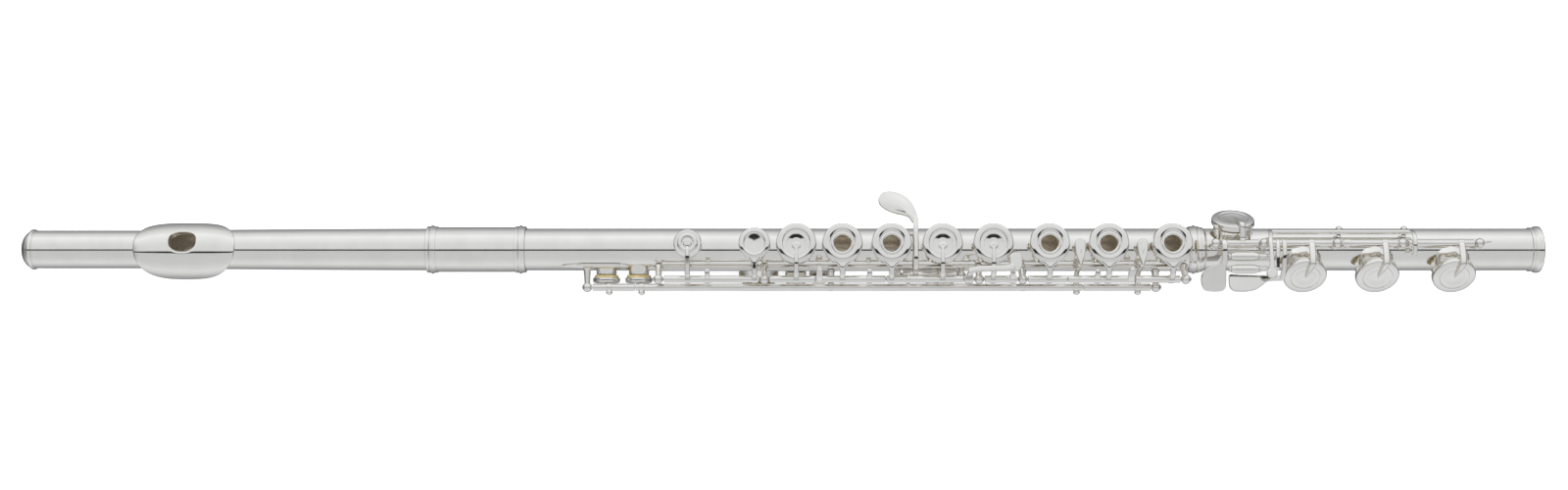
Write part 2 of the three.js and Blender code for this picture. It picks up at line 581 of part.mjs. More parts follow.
function buildSideLever() {
  const group = onRod(STACK_ROD);
  const run = at(0, 0, 0).set(0, 1, 0);
  mesh('b_flat_side_lever', cut(join(
    rodX(84.1, 88.4, HINGE_R, STACK_ROD),
    ribbon([at(86.2, STACK_ROD.y, STACK_ROD.z + 1), at(86.2, -16.2, 15), at(86.2, -14, 18.2)],
      [3.4, 3, 2.6], 1.6),
    ribbon([at(85.2, -13.6, 18.7), at(92, -13.2, 19.4), at(103, -13, 19.3), at(107.6, -11.8, 18.6)],
      [2.2, 2.2, 2.4, 4], 1.4, run),
    plate(roundedOutline(5.6, 9.2, 2.7), 1.8, at(108.4, -9.7, 18.3), 6)),
  rodX(83, 90, HINGE_IN_R, STACK_ROD)), silver, group);
}

// ---------- Foot joint ----------
const FOOT_POSTS = [201.2, 223.7, 257.8, 288.1, 324.1];
const B_LEVER_POSTS = [259.6, 290];

function buildFootTube() {
  const outside = spinX([
    [0, FOOT_SOCKET.start], [SLEEVE_OUT_R, FOOT_SOCKET.start],
    ...ringProfile(193.1, SLEEVE_OUT_R, RING_R), [SLEEVE_OUT_R, FOOT_SOCKET.end],
    [TUBE_R, FOOT_SOCKET.end + 0.4], [TUBE_R, 350.6], [10.4, 352], [11.1, 353.4],
    [11.1, FLUTE_END - 0.8], [10.9, FLUTE_END], [0, FLUTE_END]]);
  const bore = spinX([
    [0, FOOT_SOCKET.start - 1], [SLEEVE_IN_R, FOOT_SOCKET.start - 1],
    [SLEEVE_IN_R, FOOT_SOCKET.end - 0.6], [TUBE_R - WALL, FOOT_SOCKET.end - 0.6],
    [TUBE_R - WALL, FLUTE_END + 1], [0, FLUTE_END + 1]]);
  mesh('foot_tube', pierced(outside, bore, FOOT_HOLES), silver);
}

function footRib() {
  const angle = -2;
  const wideFoot = (x) => bar(
    polar(x, TUBE_R + 0.35, angle), polar(x, TUBE_R + 1.1, angle), 2.4, 8);
  const posts = FOOT_POSTS.map((x) => join(post(x, FOOT_ROD, angle), wideFoot(x)));
  const leverPosts = B_LEVER_POSTS.map((x) => post(x, B_LEVER_ROD, 14, 2, 0.9));
  return cut(join(
    strap(221.6, 331, 1.5, 14), strap(198.6, 226, -20, -12.5), posts, leverPosts),
  FOOT_POSTS.map((x) => boreFor(x, FOOT_ROD)),
  B_LEVER_POSTS.map((x) => rodX(x - 3, x + 3, 1.1 + GAP, B_LEVER_ROD)));
}

/** Arm from the foot rod over the back of a cup to its centre. */
const footArm = (armX, x, angle) => {
  const side = Math.sign(angle);
  const top = FOOT.rim + PAD_FLOOR + CUP_H;
  const edge = polar(x, Math.hypot(top + 0.6, FOOT.cup), angle - side * 31);
  const centre = polar(x, top, angle);
  return ribbon([
    at(armX, FOOT_ROD.y + side * 0.8, FOOT_ROD.z + 0.8),
    at(armX, FOOT_ROD.y + side * 3, FOOT_ROD.z + 1.6),
    at(armX, edge.y, edge.z), at(x, centre.y, centre.z)], [2.8, 2.8, 2.4, 1.0]);
};

/** A key of the foot rod, drawn shut, with its pad. */
function footKey(name, lift, cupX, angle, shape, padName, steelPath) {
  const group = onRod(FOOT_ROD, lift);
  const whole = join(shape, cup(FOOT, cupX, angle));
  mesh(name, steelPath ? cut(whole, steelPath) : whole, silver, group);
  mesh(padName, pad(FOOT, cupX, angle), padSkin, group);
}

const ROLLER = { start: 207.8, end: 220.6, radius: 2.15 };
const C_ROLLER_LINE = { y: -12.8, z: 13 };
const B_ROLLER_LINE = { y: -7, z: 15.6 };
const rollerPin = (line, from) => join(
  rodX(ROLLER.start - 0.8, from, STEEL_R, line), rodX(ROLLER.start - 1.1, ROLLER.start - 0.3, 1.3, line),
  rodX(ROLLER.end + 0.3, from, 1.15, line));
const roller = (line) => spinX([
  [HINGE_IN_R, ROLLER.start], [1.6, ROLLER.start], [ROLLER.radius, ROLLER.start + 2],
  [ROLLER.radius, ROLLER.end - 2], [1.6, ROLLER.end], [HINGE_IN_R, ROLLER.end],
  [HINGE_IN_R, ROLLER.start]], 14, line);

function buildFootKeys() {
  const paddle = new THREE.Shape();
  paddle.moveTo(4.6, 7.4).lineTo(4.8, -4).quadraticCurveTo(4.8, -7.2, 0.6, -7.2);
  paddle.quadraticCurveTo(-6.4, -7.4, -6.6, -1).quadraticCurveTo(-6.8, 3.6, -1, 4.8);
  paddle.quadraticCurveTo(1.8, 5.6, 2.2, 7.4);
  footKey('d_sharp_foot_key', 0, X.dSharpFoot, D_SHARP_ANGLE, join(
    rodX(204, 220.9, HINGE_R, FOOT_ROD), footArm(213.6, X.dSharpFoot, D_SHARP_ANGLE),
    ribbon([at(205, FOOT_ROD.y, FOOT_ROD.z + 1), at(205, -4.5, 16), at(205, -9.4, 14.2)],
      [2.2, 2.2, 2.2]),
    plate(paddle, 1.6, at(201.6, -15.6, 11.8), 20)), 'd_sharp_foot_pad',
  rodX(203, 222, HINGE_IN_R, FOOT_ROD));

  const longPaddle = new THREE.Shape();
  longPaddle.moveTo(-8.6, 4.2).lineTo(8.6, 4.2).lineTo(15, 3.2).lineTo(15, 1.2);
  longPaddle.lineTo(9, 0.4).quadraticCurveTo(5.6, -4, -2, -4.4);
  longPaddle.quadraticCurveTo(-8.8, -4.4, -8.8, 1.2);
  footKey('c_sharp_foot_key', -LIFT_DEG, X.cSharpFoot, FOOT_ANGLE, join(
    rodX(232.4, 255.2, HINGE_R, FOOT_ROD), footArm(245.6, X.cSharpFoot, FOOT_ANGLE),
    ribbon([at(233.5, FOOT_ROD.y, FOOT_ROD.z + 1), at(233.5, -5, 15.8), at(233.5, -11.4, 12.6),
      at(233.5, -15.8, 7.8)], [2, 2, 2, 2]),
    plate(longPaddle, 1.5, at(219.4, -17.6, 7), 20)), 'c_sharp_foot_pad',
  rodX(231, 256, HINGE_IN_R, FOOT_ROD));

  footKey('c_foot_key', -LIFT_DEG, X.cFoot, FOOT_ANGLE, join(
    rodX(221.8, 290.2, STEEL_R, FOOT_ROD), rodX(226.6, 231.8, HINGE_R, FOOT_ROD),
    rodX(260.4, 285.4, HINGE_R, FOOT_ROD), footArm(279.8, X.cFoot, FOOT_ANGLE),
    ribbon([at(230.3, FOOT_ROD.y, FOOT_ROD.z + 1), at(230.3, -5, 16.4),
      at(230.3, C_ROLLER_LINE.y - 0.6, C_ROLLER_LINE.z)], [1.8, 1.8, 1.8]),
    rollerPin(C_ROLLER_LINE, 230.3)), 'c_foot_pad');

  footKey('b_foot_key', -LIFT_DEG, X.bFoot, FOOT_ANGLE, join(
    rodX(291, 321.4, HINGE_R, FOOT_ROD), footArm(315.4, X.bFoot, FOOT_ANGLE),
    ribbon([at(293.3, FOOT_ROD.y, FOOT_ROD.z), at(293.3, -6.6, 13.6)], [2.2, 2.2])), 'b_foot_pad',
  rodX(290, 323, HINGE_IN_R, FOOT_ROD));
}

/** Second foot rod with the B roller and the small round high-C touch on one end. */
function buildBLever() {
  const group = onRod(B_LEVER_ROD);
  mesh('b_lever', join(
    rodX(226.5, 294.4, 1.1, B_LEVER_ROD),
    ribbon([at(227.4, B_LEVER_ROD.y, B_LEVER_ROD.z + 0.6), at(227.4, 3.6, 16.8), at(227.4, -0.5, 18.8),
      at(227.4, -7, 19.3), at(227.4, -13.4, 19)], [1.9, 1.9, 1.9, 1.9, 1.9]),
    ribbon([at(227.4, -7, 19), at(227.4, -7, 15)], [1.8, 1.8]),
    rollerPin(B_ROLLER_LINE, 227.4),
    spinOut([[0, -0.8], [2.5, -0.8], [2.5, 0.8], [0, 0.8]], 0, 0, 14)
      .translate([227.4, -15.2, 18.8]),
    ribbon([at(293.3, B_LEVER_ROD.y, B_LEVER_ROD.z + 0.6), at(293.3, 3.4, 16.9),
      at(293.3, -0.8, 18.2), at(293.3, -6.4, 16.2)], [2, 2, 2, 2])), silver, group);
}

function buildFoot() {
  buildFootTube();
  mesh('foot_rib', footRib(), silver);
  buildFootKeys();
  buildBLever();
  mesh('c_roller', roller(C_ROLLER_LINE), silver, onRod(FOOT_ROD, -LIFT_DEG));
  mesh('b_roller', roller(B_ROLLER_LINE), silver, onRod(B_LEVER_ROD));
  mesh('d_sharp_steel', rodX(199, 221.2, STEEL_R, FOOT_ROD), steel);
  mesh('b_steel', rodX(290.8, 326.4, STEEL_R, FOOT_ROD), steel);
}

buildHead();
buildBody();
buildStack();
buildTrills();
buildGSharp();
buildThumbKeys();
buildSideLever();
buildFoot();

// The part's own origin is the middle of the bottom of its box.
const box = new THREE.Box3().setFromObject(flute, true);
const middle = box.getCenter(new THREE.Vector3());
design.position.set(-middle.x, -middle.y, -box.min.z);

export default flute;
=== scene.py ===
"""Looks of the concert flute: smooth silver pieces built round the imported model.

Shapes are drawn in millimetres in the tube frame: x along the bore from the crown to the foot,
y away from the player and z up through the finger keys, with the bore axis at y = z = 0.
"""

import json
import math
from math import radians

import bmesh
import bpy
from mathutils import Matrix, Vector


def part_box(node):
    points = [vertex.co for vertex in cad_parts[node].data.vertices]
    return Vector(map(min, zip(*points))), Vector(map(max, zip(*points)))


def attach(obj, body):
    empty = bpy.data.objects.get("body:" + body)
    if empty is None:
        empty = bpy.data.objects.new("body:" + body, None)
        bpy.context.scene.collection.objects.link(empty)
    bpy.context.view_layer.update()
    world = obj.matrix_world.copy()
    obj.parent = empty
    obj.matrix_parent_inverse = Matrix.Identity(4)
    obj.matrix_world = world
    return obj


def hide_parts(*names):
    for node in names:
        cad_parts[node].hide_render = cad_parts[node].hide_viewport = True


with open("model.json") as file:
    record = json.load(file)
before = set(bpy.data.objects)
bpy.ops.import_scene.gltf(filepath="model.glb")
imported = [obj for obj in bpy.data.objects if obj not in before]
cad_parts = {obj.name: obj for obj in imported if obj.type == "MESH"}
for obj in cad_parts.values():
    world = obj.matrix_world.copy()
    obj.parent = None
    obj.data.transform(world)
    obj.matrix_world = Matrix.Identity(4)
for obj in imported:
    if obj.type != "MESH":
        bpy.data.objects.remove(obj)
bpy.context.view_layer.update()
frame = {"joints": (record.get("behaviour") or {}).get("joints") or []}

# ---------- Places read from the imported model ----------
MM = 0.001
JOINTS = {joint["name"]: joint for joint in frame["joints"]}
FOOT_END = 356.1
AXIS = Vector(JOINTS["foot_swivel"]["pos_m"]) / MM
ORIGIN = Vector((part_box("foot_tube")[1].x / MM - FOOT_END, AXIS.y, AXIS.z))


def joint_at(name):
    """A joint's point in the tube frame."""
    return Vector(JOINTS[name]["pos_m"]) / MM - ORIGIN


def span(node):
    """The lowest and highest x of a CAD node, in the tube frame."""
    low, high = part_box(node)
    return low.x / MM - ORIGIN.x, high.x / MM - ORIGIN.x


# ---------- Driving sizes ----------
WALL = 0.4
TUBE_R = 9.9
HEAD_END_R = 9.85
HEAD_CORK_R = 8.95
SLEEVE_IN_R = 10.2
SLEEVE_OUT_R = 10.6
RING_R = 11.6
STEEL_R = 0.75
HINGE_R = 1.65
HINGE_IN_R = 1.05
PAD_FLOOR = 0.2
PAD_T = 2.2
CUP_H = 3.8
LIFT = 9
BACK_ANGLE = -145
TRILL_ANGLE = -100
FOOT_ANGLE = -64
D_SHARP_ANGLE = 52

LARGE = {"cup": 9.45, "chimney": 8.2, "hole": 7.6, "rim": 12.3}
TOUCH = {"cup": 7.45, "chimney": 5.9, "hole": 5.3, "rim": 12.3}
SMALL = {"cup": 6.6, "chimney": 5.0, "hole": 4.4, "rim": 12.3}
TRILL = {"cup": 6.35, "chimney": 4.7, "hole": 4.1, "rim": 12.0}
FOOT = {"cup": 10.1, "chimney": 8.7, "hole": 8.1, "rim": 12.5}
FINGER_HOLE_R = 3.9

STACK_ROD = joint_at("a_key_press")
TRILL_ROD = joint_at("d_trill_press")
G_SHARP_ROD = joint_at("g_sharp_press")
THUMB_ROD = joint_at("thumb_b_press")
FOOT_ROD = joint_at("c_foot_press")
B_LEVER_ROD = joint_at("b_lever_press")

X = {
    "c_sharp": joint_at("c_key_press").x,
    "c": -13.8,
    "b_flat": joint_at("b_flat_key_press").x,
    "a": joint_at("a_key_press").x,
    "g_upper": joint_at("g_key_press").x,
    "g_lower": 73.8,
    "f_sharp": joint_at("f_sharp_key_press").x,
    "f": joint_at("f_key_press").x,
    "e": joint_at("e_key_press").x,
    "d": joint_at("d_key_press").x,
    "thumb": joint_at("thumb_b_press").x,
    "d_sharp_trill": -83.7,
    "d_trill": -68.4,
    "d_sharp_foot": joint_at("d_sharp_foot_press").x,
    "c_sharp_foot": joint_at("c_sharp_foot_press").x,
    "c_foot": joint_at("c_foot_press").x,
    "b_foot": joint_at("b_foot_press").x,
}
STACK_POSTS = [-58.7, -9.2, 91.1, 111.4, 187.5]
TRILL_POSTS = [-92.3, 174.5]
TRILL_GUIDES = [22, 112]
G_SHARP_POSTS = [53.4, 83.2]
THUMB_POSTS = [-26.5, 25.5]
FOOT_POSTS = [201.2, 223.7, 257.8, 288.1, 324.1]
B_LEVER_POSTS = [259.6, 290]
EMBOUCHURE_X = -281

HOLE = (6.4, 5.1)  # half length and half width of the embouchure hole
HOLE_TILT = 4.5
PLATE_HALF = 23.8
PLATE_TURN = -3
PLATE_SPREAD = 89
PLATE_T = 0.8
BOSS_Y = -1.4

ROLLER = (207.8, 220.6)
ROLLER_R = 2.15
C_ROLLER = Vector((0, -12.8, 13))
B_ROLLER = Vector((0, -7, 15.6))

CAMERA_DISTANCE = 1128.6
CAMERA_ELEVATION = 76.5
CAMERA_RAISE = 2.1
CAMERA_LENS = 54.9

ROUND = 96  # sides of the tubes
CUP_SIDES = 64
ROD_SIDES = 24
SHARP_ANGLE = 38  # edges bent more than this stay crisp


# ---------- Mesh pieces: each is (points, faces) in millimetres ----------
def polar(x, radius, angle):
    """The point at a distance from the bore axis, at an angle from +z towards +y."""
    return Vector((x, radius * math.sin(radians(angle)), radius * math.cos(radians(angle))))


def merge(*parts):
    """One (points, faces) pair from several."""
    points, faces = [], []
    for part_points, part_faces in parts:
        base = len(points)
        points += list(part_points)
        faces += [[base + i for i in face] for face in part_faces]
    return points, faces


def moved(part, matrix):
    points, faces = part
    return [matrix @ Vector(p) for p in points], faces


def fillet(profile, steps=4):
    """Rounds each (u, v, radius) corner of a profile; a corner with no radius stays sharp."""
    out = []
    for i, corner in enumerate(profile):
        radius = corner[2] if len(corner) > 2 else 0
        here = Vector(corner[:2])
        if not radius or i in (0, len(profile) - 1):
            out.append(here)
            continue
        before = Vector(profile[i - 1][:2]) - here
        after = Vector(profile[i + 1][:2]) - here
        start = here + before.normalized() * min(radius, before.length * 0.49)
        end = here + after.normalized() * min(radius, after.length * 0.49)
        for k in range(steps + 1):
            t = k / steps
            out.append(start * (1 - t) ** 2 + here * 2 * t * (1 - t) + end * t**2)
    return out


def lathe(profile, sides=CUP_SIDES, closed=False):
    """A profile of (radius, height, fillet) corners spun about z."""
    line = fillet(profile)
    points, faces, rings = [], [], []
    for r, h in line:
        if r < 1e-6:
            rings.append([len(points)])
            points.append(Vector((0, 0, h)))
            continue
        rings.append(list(range(len(points), len(points) + sides)))
        points += [
            Vector((r * math.cos(a), r * math.sin(a), h))
            for a in (2 * math.pi * k / sides for k in range(sides))
        ]
    pairs = list(zip(rings, rings[1:] + rings[:1])) if closed else list(zip(rings, rings[1:]))
    for low, high in pairs:
        for k in range(sides):
            n = (k + 1) % sides
            if len(low) == 1 and len(high) > 1:
                faces.append([low[0], high[n], high[k]])
            elif len(high) == 1 and len(low) > 1:
                faces.append([low[k], low[n], high[0]])
            elif len(low) > 1:
                faces.append([low[k], low[n], high[n], high[k]])
    return points, faces


def along_x(part, line=(0, 0)):
    """Turns a lathe about z into one about the line at y, z = line, with height becoming x."""
    turn = Matrix(((0, 0, 1, 0), (0, 1, 0, line[0]), (-1, 0, 0, line[1]), (0, 0, 0, 1)))
    return moved(part, turn)


def outward(part, x, angle):
    """Stands a lathe about z on the bore axis, pointing out at an angle."""
    return moved(part, Matrix.Translation((x, 0, 0)) @ Matrix.Rotation(-radians(angle), 4, "X"))


def rod(x0, x1, radius, line, edge=0.15, sides=ROD_SIDES):
    profile = [(0, x0), (radius, x0, edge), (radius, x1, edge), (0, x1)]
    return along_x(lathe(profile, sides), (line.y, line.z))


def hinge(x0, x1, line):
    """A hinge tube, open at both ends for its steel."""
    profile = [
        (HINGE_IN_R, x0), (HINGE_R, x0, 0.2), (HINGE_R, x1, 0.2), (HINGE_IN_R, x1),
    ]
    return along_x(lathe(profile, ROD_SIDES, closed=True), (line.y, line.z))


def collar(x, line, width=2.6, radius=2.0):
    """The ring that an arm is soldered to, standing a little proud of the hinge tube."""
    half = width / 2
    profile = [
        (HINGE_R - 0.2, x - half), (radius - 0.15, x - half, 0.15), (radius, x - half * 0.5, 0.3),
        (radius, x + half * 0.5, 0.3), (radius - 0.15, x + half, 0.15), (HINGE_R - 0.2, x + half),
    ]
    return along_x(lathe(profile, ROD_SIDES, closed=True), (line.y, line.z))


def spline_point(a, b, c, d, t):
    """A point between b and c on the smooth line through a, b, c and d."""
    return 0.5 * (2 * b + (c - a) * t + (2 * a - 5 * b + 4 * c - d) * t**2
                  + (3 * b - a - 3 * c + d) * t**3)


def catmull(values, per=6):
    """Points on a smooth line through the values."""
    v = [Vector(p) for p in values]
    v = [v[0] * 2 - v[1]] + v + [v[-1] * 2 - v[-2]]
    out = []
    for a, b, c, d in zip(v, v[1:], v[2:], v[3:]):
        out += [spline_point(a, b, c, d, k / per) for k in range(per)]
    out.append(v[-2].copy())
    return out


def ring_faces(count, sides, cap=True):
    faces = []
    for i in range(count - 1):
        for k in range(sides):
            n = (k + 1) % sides
            faces.append([i * sides + k, i * sides + n, (i + 1) * sides + n, (i + 1) * sides + k])
    if cap:
        last = (count - 1) * sides
        faces.append([k for k in reversed(range(sides))])
        faces.append([last + k for k in range(sides)])
    return faces


def hoop_faces(count, sides):
    """Faces over rings of points whose last ring joins the first."""
    last = (count - 1) * sides
    return ring_faces(count, sides, cap=False) + [
        [last + k, last + (k + 1) % sides, (k + 1) % sides, k] for k in range(sides)]


def sweep(stations, side=Vector((1, 0, 0)), squareness=3.2, sides=20, per=6):
    """A bar through (point, width, thickness) stations, with a rounded section and soft ends."""
    path = catmull([s[0] for s in stations], per)
    sizes = catmull([(s[1], s[2], 0) for s in stations], per)
    first, last = path[0], path[-1]
    lead = (path[1] - first).normalized()
    trail = (path[-2] - last).normalized()
    rings = [(first, 0.8, 0), (first + lead * 0.12, 0.95, 0)]
    rings += [(p, 1.0, i) for i, p in enumerate(path) if 0 < i < len(path) - 1]
    rings += [(last + trail * 0.12, 0.95, len(path) - 1), (last, 0.8, len(path) - 1)]
    points = []
    for i, (centre, scale, index) in enumerate(rings):
        near = rings[max(i - 1, 0)][0]
        far = rings[min(i + 1, len(rings) - 1)][0]
        normal = (far - near).cross(side).normalized()
        width, thick = max(sizes[index].x, 0.2), max(sizes[index].y, 0.2)
        for k in range(sides):
            a = 2 * math.pi * (k + 0.5) / sides
            c, s = math.cos(a), math.sin(a)
            power = 2 / squareness
            u = math.copysign(abs(c) ** power, c) * width / 2 * scale
            w = math.copysign(abs(s) ** power, s) * thick / 2 * scale
            points.append(centre + side * u + normal * w)
    return points, ring_faces(len(rings), sides)


def bar(start, end, radius, end_radius=None, flare=0.0, sides=20):
    """A round bar, with an optional flared foot at its start."""
    axis = Vector(end) - Vector(start)
    end_radius = radius if end_radius is None else end_radius
    length = axis.length
    profile = [(0, 0), (radius + flare, 0, 0.1)]
    if flare:
        profile += [(radius + flare * 0.35, length * 0.12, 0.3), (radius, length * 0.35, 0.6)]
    profile += [(end_radius, length, 0.1), (0, length)]
    turn = Matrix.Translation(start) @ Vector((0, 0, 1)).rotation_difference(axis).to_matrix().to_4x4()
    return moved(lathe(profile, sides), turn)


def ball(centre, radius, sides=24, rows=14):
    profile = [
        (radius * math.sin(math.pi * i / rows), -radius * math.cos(math.pi * i / rows))
        for i in range(rows + 1)
    ]
    profile[0] = (0, -radius)
    profile[-1] = (0, radius)
    turned = moved(lathe(profile, sides), Matrix.Translation((0, 0, centre[0])))
    return along_x(turned, (centre[1], centre[2]))


def closed_curve(controls, per=8):
    """A smooth closed outline through control points in a plane."""
    v = [Vector((p[0], p[1])) for p in controls]
    n = len(v)
    out = []
    for i in range(n):
        a, b, c, d = v[i - 1], v[i], v[(i + 1) % n], v[(i + 2) % n]
        out += [spline_point(a, b, c, d, k / per) for k in range(per)]
    return out


def inset(outline, distance):
    """The outline moved inwards along its own normals."""
    out = []
    n = len(outline)
    for i, p in enumerate(outline):
        tangent = (outline[(i + 1) % n] - outline[i - 1]).normalized()
        out.append(p + Vector((-tangent.y, tangent.x)) * distance)
    return out


def plate(outline, thickness, place, tip=0, edge=0.45, dome=0.0):
    """A touch with rounded edges, flat or domed: an outline in x and y, tipped about x."""
    edge = min(edge, thickness / 2)
    turns = zip(outline, outline[1:] + outline[:1])
    if sum(a.x * b.y - b.x * a.y for a, b in turns) < 0:
        outline = outline[::-1]
    steps = 4
    levels = [(edge + 0.2, -thickness / 2)]  # the narrow flat border keeps the face's shading even
    for k in range(steps + 1):
        a = math.pi / 2 * k / steps
        levels.append((edge * (1 - math.sin(a)), -thickness / 2 + edge * (1 - math.cos(a))))
    levels += [(d, -h) for d, h in reversed(levels)]
    points = []
    for distance, height in levels:
        points += [Vector((p.x, p.y, height)) for p in inset(outline, distance)]
    count = len(levels)
    top = points[-len(outline):]
    centre = sum(top, Vector()) / len(top)
    if dome:
        for share in (0.75, 0.5, 0.25):
            lift = dome * (1 - share**2)
            points += [centre + (p - centre) * share + Vector((0, 0, lift)) for p in top]
            count += 1
    turn = Matrix.Translation(place) @ Matrix.Rotation(radians(tip), 4, "X")
    return moved((points, ring_faces(count, len(outline))), turn)


# ---------- Pieces ----------
MATERIALS = {}


def lifted(rod_line, lift):
    """The turn that takes a key drawn shut to how it stands at rest."""
    pivot = Vector((0, rod_line.y, rod_line.z))
    return Matrix.Translation(pivot) @ Matrix.Rotation(radians(lift), 4, "X") @ Matrix.Translation(-pivot)


def object_from(name, parts, turn=None):
    """A smooth-shaded object in metres, in the row frame."""
    points, faces = merge(*parts)
    if turn is not None:
        points = [turn @ p for p in points]
    mesh = bpy.data.meshes.new(name)
    mesh.from_pydata([(Vector(p) + ORIGIN) * MM for p in points], [], faces)
    made = bmesh.new()
    made.from_mesh(mesh)
    bmesh.ops.recalc_face_normals(made, faces=made.faces)
    made.to_mesh(mesh)
    made.free()
    mesh.shade_smooth()
    mesh.set_sharp_from_angle(angle=radians(SHARP_ANGLE))
    obj = bpy.data.objects.new(name, mesh)
    bpy.context.scene.collection.objects.link(obj)
    return obj


def finish_piece(obj, material, body, replaces=()):
    if not obj.data.materials:
        obj.data.materials.append(MATERIALS[material])
    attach(obj, body)
    if replaces:
        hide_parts(*replaces)
    return obj


def piece(name, body, parts, material="silver", replaces=(), turn=None):
    return finish_piece(object_from(name, parts, turn), material, body, replaces)


def applied(obj, operation, cutter):
    """obj after one boolean with cutter, which is removed."""
    modifier = obj.modifiers.new(operation, "BOOLEAN")
    modifier.operation = operation
    modifier.solver = "EXACT"
    modifier.object = cutter
    graph = bpy.context.evaluated_depsgraph_get()
    mesh = bpy.data.meshes.new_from_object(obj.evaluated_get(graph))
    obj.modifiers.clear()
    obj.data = mesh
    bpy.data.objects.remove(cutter)
    return obj


def dress_tube(obj, radius_at):
    """Gives a cut tube exact round shading, with the rougher, darker bore silver and its painted glow
    inside its bore.
    """
    mesh = obj.data
    mesh.materials.clear()
    mesh.materials.append(MATERIALS["silver"])
    mesh.materials.append(MATERIALS["bore"])
    mesh.shade_smooth()
    mesh.set_sharp_from_angle(angle=radians(SHARP_ANGLE))
    normals = [Vector(n.vector) for n in mesh.corner_normals]
    for polygon in mesh.polygons:
        middle = Vector(polygon.center) / MM - ORIGIN
        spoke = Vector((0, middle.y, middle.z))
        facing = polygon.normal.dot(spoke.normalized())
        near = abs(spoke.length - radius_at(middle.x)) < 0.27
        # Faces on the inside of the wall take the bore silver with its painted glow.
        polygon.material_index = 1 if facing < -0.5 and near else 0
        if abs(facing) < 0.985 or not near:
            continue
        for corner in polygon.loop_indices:
            point = Vector(mesh.vertices[mesh.loops[corner].vertex_index].co) / MM - ORIGIN
            out = Vector((0, point.y, point.z)).normalized()
            normals[corner] = out if facing > 0 else -out
    mesh.normals_split_custom_set([tuple(n) for n in normals])


# ---------- Materials ----------
def new_material(name, color, metallic, roughness):
    material = bpy.data.materials.new(name)
    material.use_nodes = True
    nodes, links = material.node_tree.nodes, material.node_tree.links
    shader = nodes["Principled BSDF"]
    shader.inputs["Base Color"].default_value = (*color, 1)
    shader.inputs["Metallic"].default_value = metallic
    shader.inputs["Roughness"].default_value = roughness
    return material, nodes, links, shader


def noise(nodes, links, scale, detail=3, stretch=(1, 1, 1)):
    coordinates = nodes.new("ShaderNodeTexCoord")
    mapping = nodes.new("ShaderNodeMapping")
    mapping.inputs["Scale"].default_value = stretch
    texture = nodes.new("ShaderNodeTexNoise")
    texture.inputs["Scale"].default_value = scale
    texture.inputs["Detail"].default_value = detail
    links.new(coordinates.outputs["Object"], mapping.inputs["Vector"])
    links.new(mapping.outputs["Vector"], texture.inputs["Vector"])
    return texture.outputs["Fac"]


def spread(nodes, links, source, low, high):
    """A noise value mapped to a range, for a roughness."""
    mapped = nodes.new("ShaderNodeMapRange")
    mapped.inputs["From Min"].default_value = 0.3
    mapped.inputs["From Max"].default_value = 0.7
    mapped.inputs["To Min"].default_value = low
    mapped.inputs["To Max"].default_value = high
    links.new(source, mapped.inputs["Value"])
    return mapped.outputs["Result"]


def tint(nodes, links, source, low, high):
    ramp = nodes.new("ShaderNodeValToRGB")
    ramp.color_ramp.elements[0].color = (*low, 1)
    ramp.color_ramp.elements[0].position = 0.35
    ramp.color_ramp.elements[1].color = (*high, 1)
    ramp.color_ramp.elements[1].position = 0.65
    links.new(source, ramp.inputs["Fac"])
    return ramp.outputs["Color"]


def bump(nodes, links, source, shader, strength, distance):
    node = nodes.new("ShaderNodeBump")
    node.inputs["Strength"].default_value = strength
    node.inputs["Distance"].default_value = distance
    links.new(source, node.inputs["Height"])
    links.new(node.outputs["Normal"], shader.inputs["Normal"])


def metal(name, low, high, rough_low, rough_high, hairline):
    """Polished metal: faint tarnish clouds, uneven polish and fine buffing lines."""
    material, nodes, links, shader = new_material(name, high, 1, rough_high)
    links.new(tint(nodes, links, noise(nodes, links, 90), low, high), shader.inputs["Base Color"])
    polish = noise(nodes, links, 240, detail=5)
    links.new(spread(nodes, links, polish, rough_low, rough_high), shader.inputs["Roughness"])
    bump(nodes, links, noise(nodes, links, 900, stretch=(0.06, 1, 1)), shader, hairline, 0.00002)
    return material


def soft_skin(name, low, high, roughness, scale):
    """Pad skin or cork: mottled, matt and slightly pitted."""
    material, nodes, links, shader = new_material(name, high, 0, roughness)
    grain = noise(nodes, links, scale, detail=6)
    links.new(tint(nodes, links, grain, low, high), shader.inputs["Base Color"])
    bump(nodes, links, noise(nodes, links, scale * 3), shader, 0.35, 0.0002)
    return material


def make_materials():
    MATERIALS["silver"] = metal(
        "polished_silver", (0.90, 0.875, 0.825), (0.94, 0.915, 0.865), 0.045, 0.085, 0.05)
    # The bore's silver is darker, warmer and rougher than the outside, and it glows faintly: the emission
    # is a painted glow that stands in for light bouncing about inside the tube.
    MATERIALS["bore"] = metal(
        "silver_bore_painted_glow", (0.74, 0.68, 0.58), (0.84, 0.79, 0.70), 0.2, 0.34, 0.2)
    inside = MATERIALS["bore"].node_tree.nodes["Principled BSDF"]
    inside.inputs["Emission Color"].default_value = (0.28, 0.25, 0.21, 1)
    inside.inputs["Emission Strength"].default_value = 0.1
    MATERIALS["steel"] = metal(
        "rod_steel", (0.60, 0.60, 0.60), (0.70, 0.70, 0.69), 0.18, 0.28, 0.2)
    MATERIALS["blued"] = metal(
        "spring_steel", (0.34, 0.33, 0.32), (0.52, 0.50, 0.46), 0.2, 0.3, 0.1)
    MATERIALS["pad"] = soft_skin("pad_skin", (0.40, 0.31, 0.13), (0.56, 0.45, 0.22), 0.45, 500)
    MATERIALS["cork"] = soft_skin("cork_grain", (0.55, 0.38, 0.22), (0.80, 0.66, 0.46), 0.85, 900)


# ---------- Head joint ----------
def head_radius(x):
    """Outside of the head joint: straight in the barrel, then narrowing towards the cork."""
    share = min(max((-168 - x) / 135, 0), 1)
    return HEAD_END_R - (HEAD_END_R - HEAD_CORK_R) * share**1.5


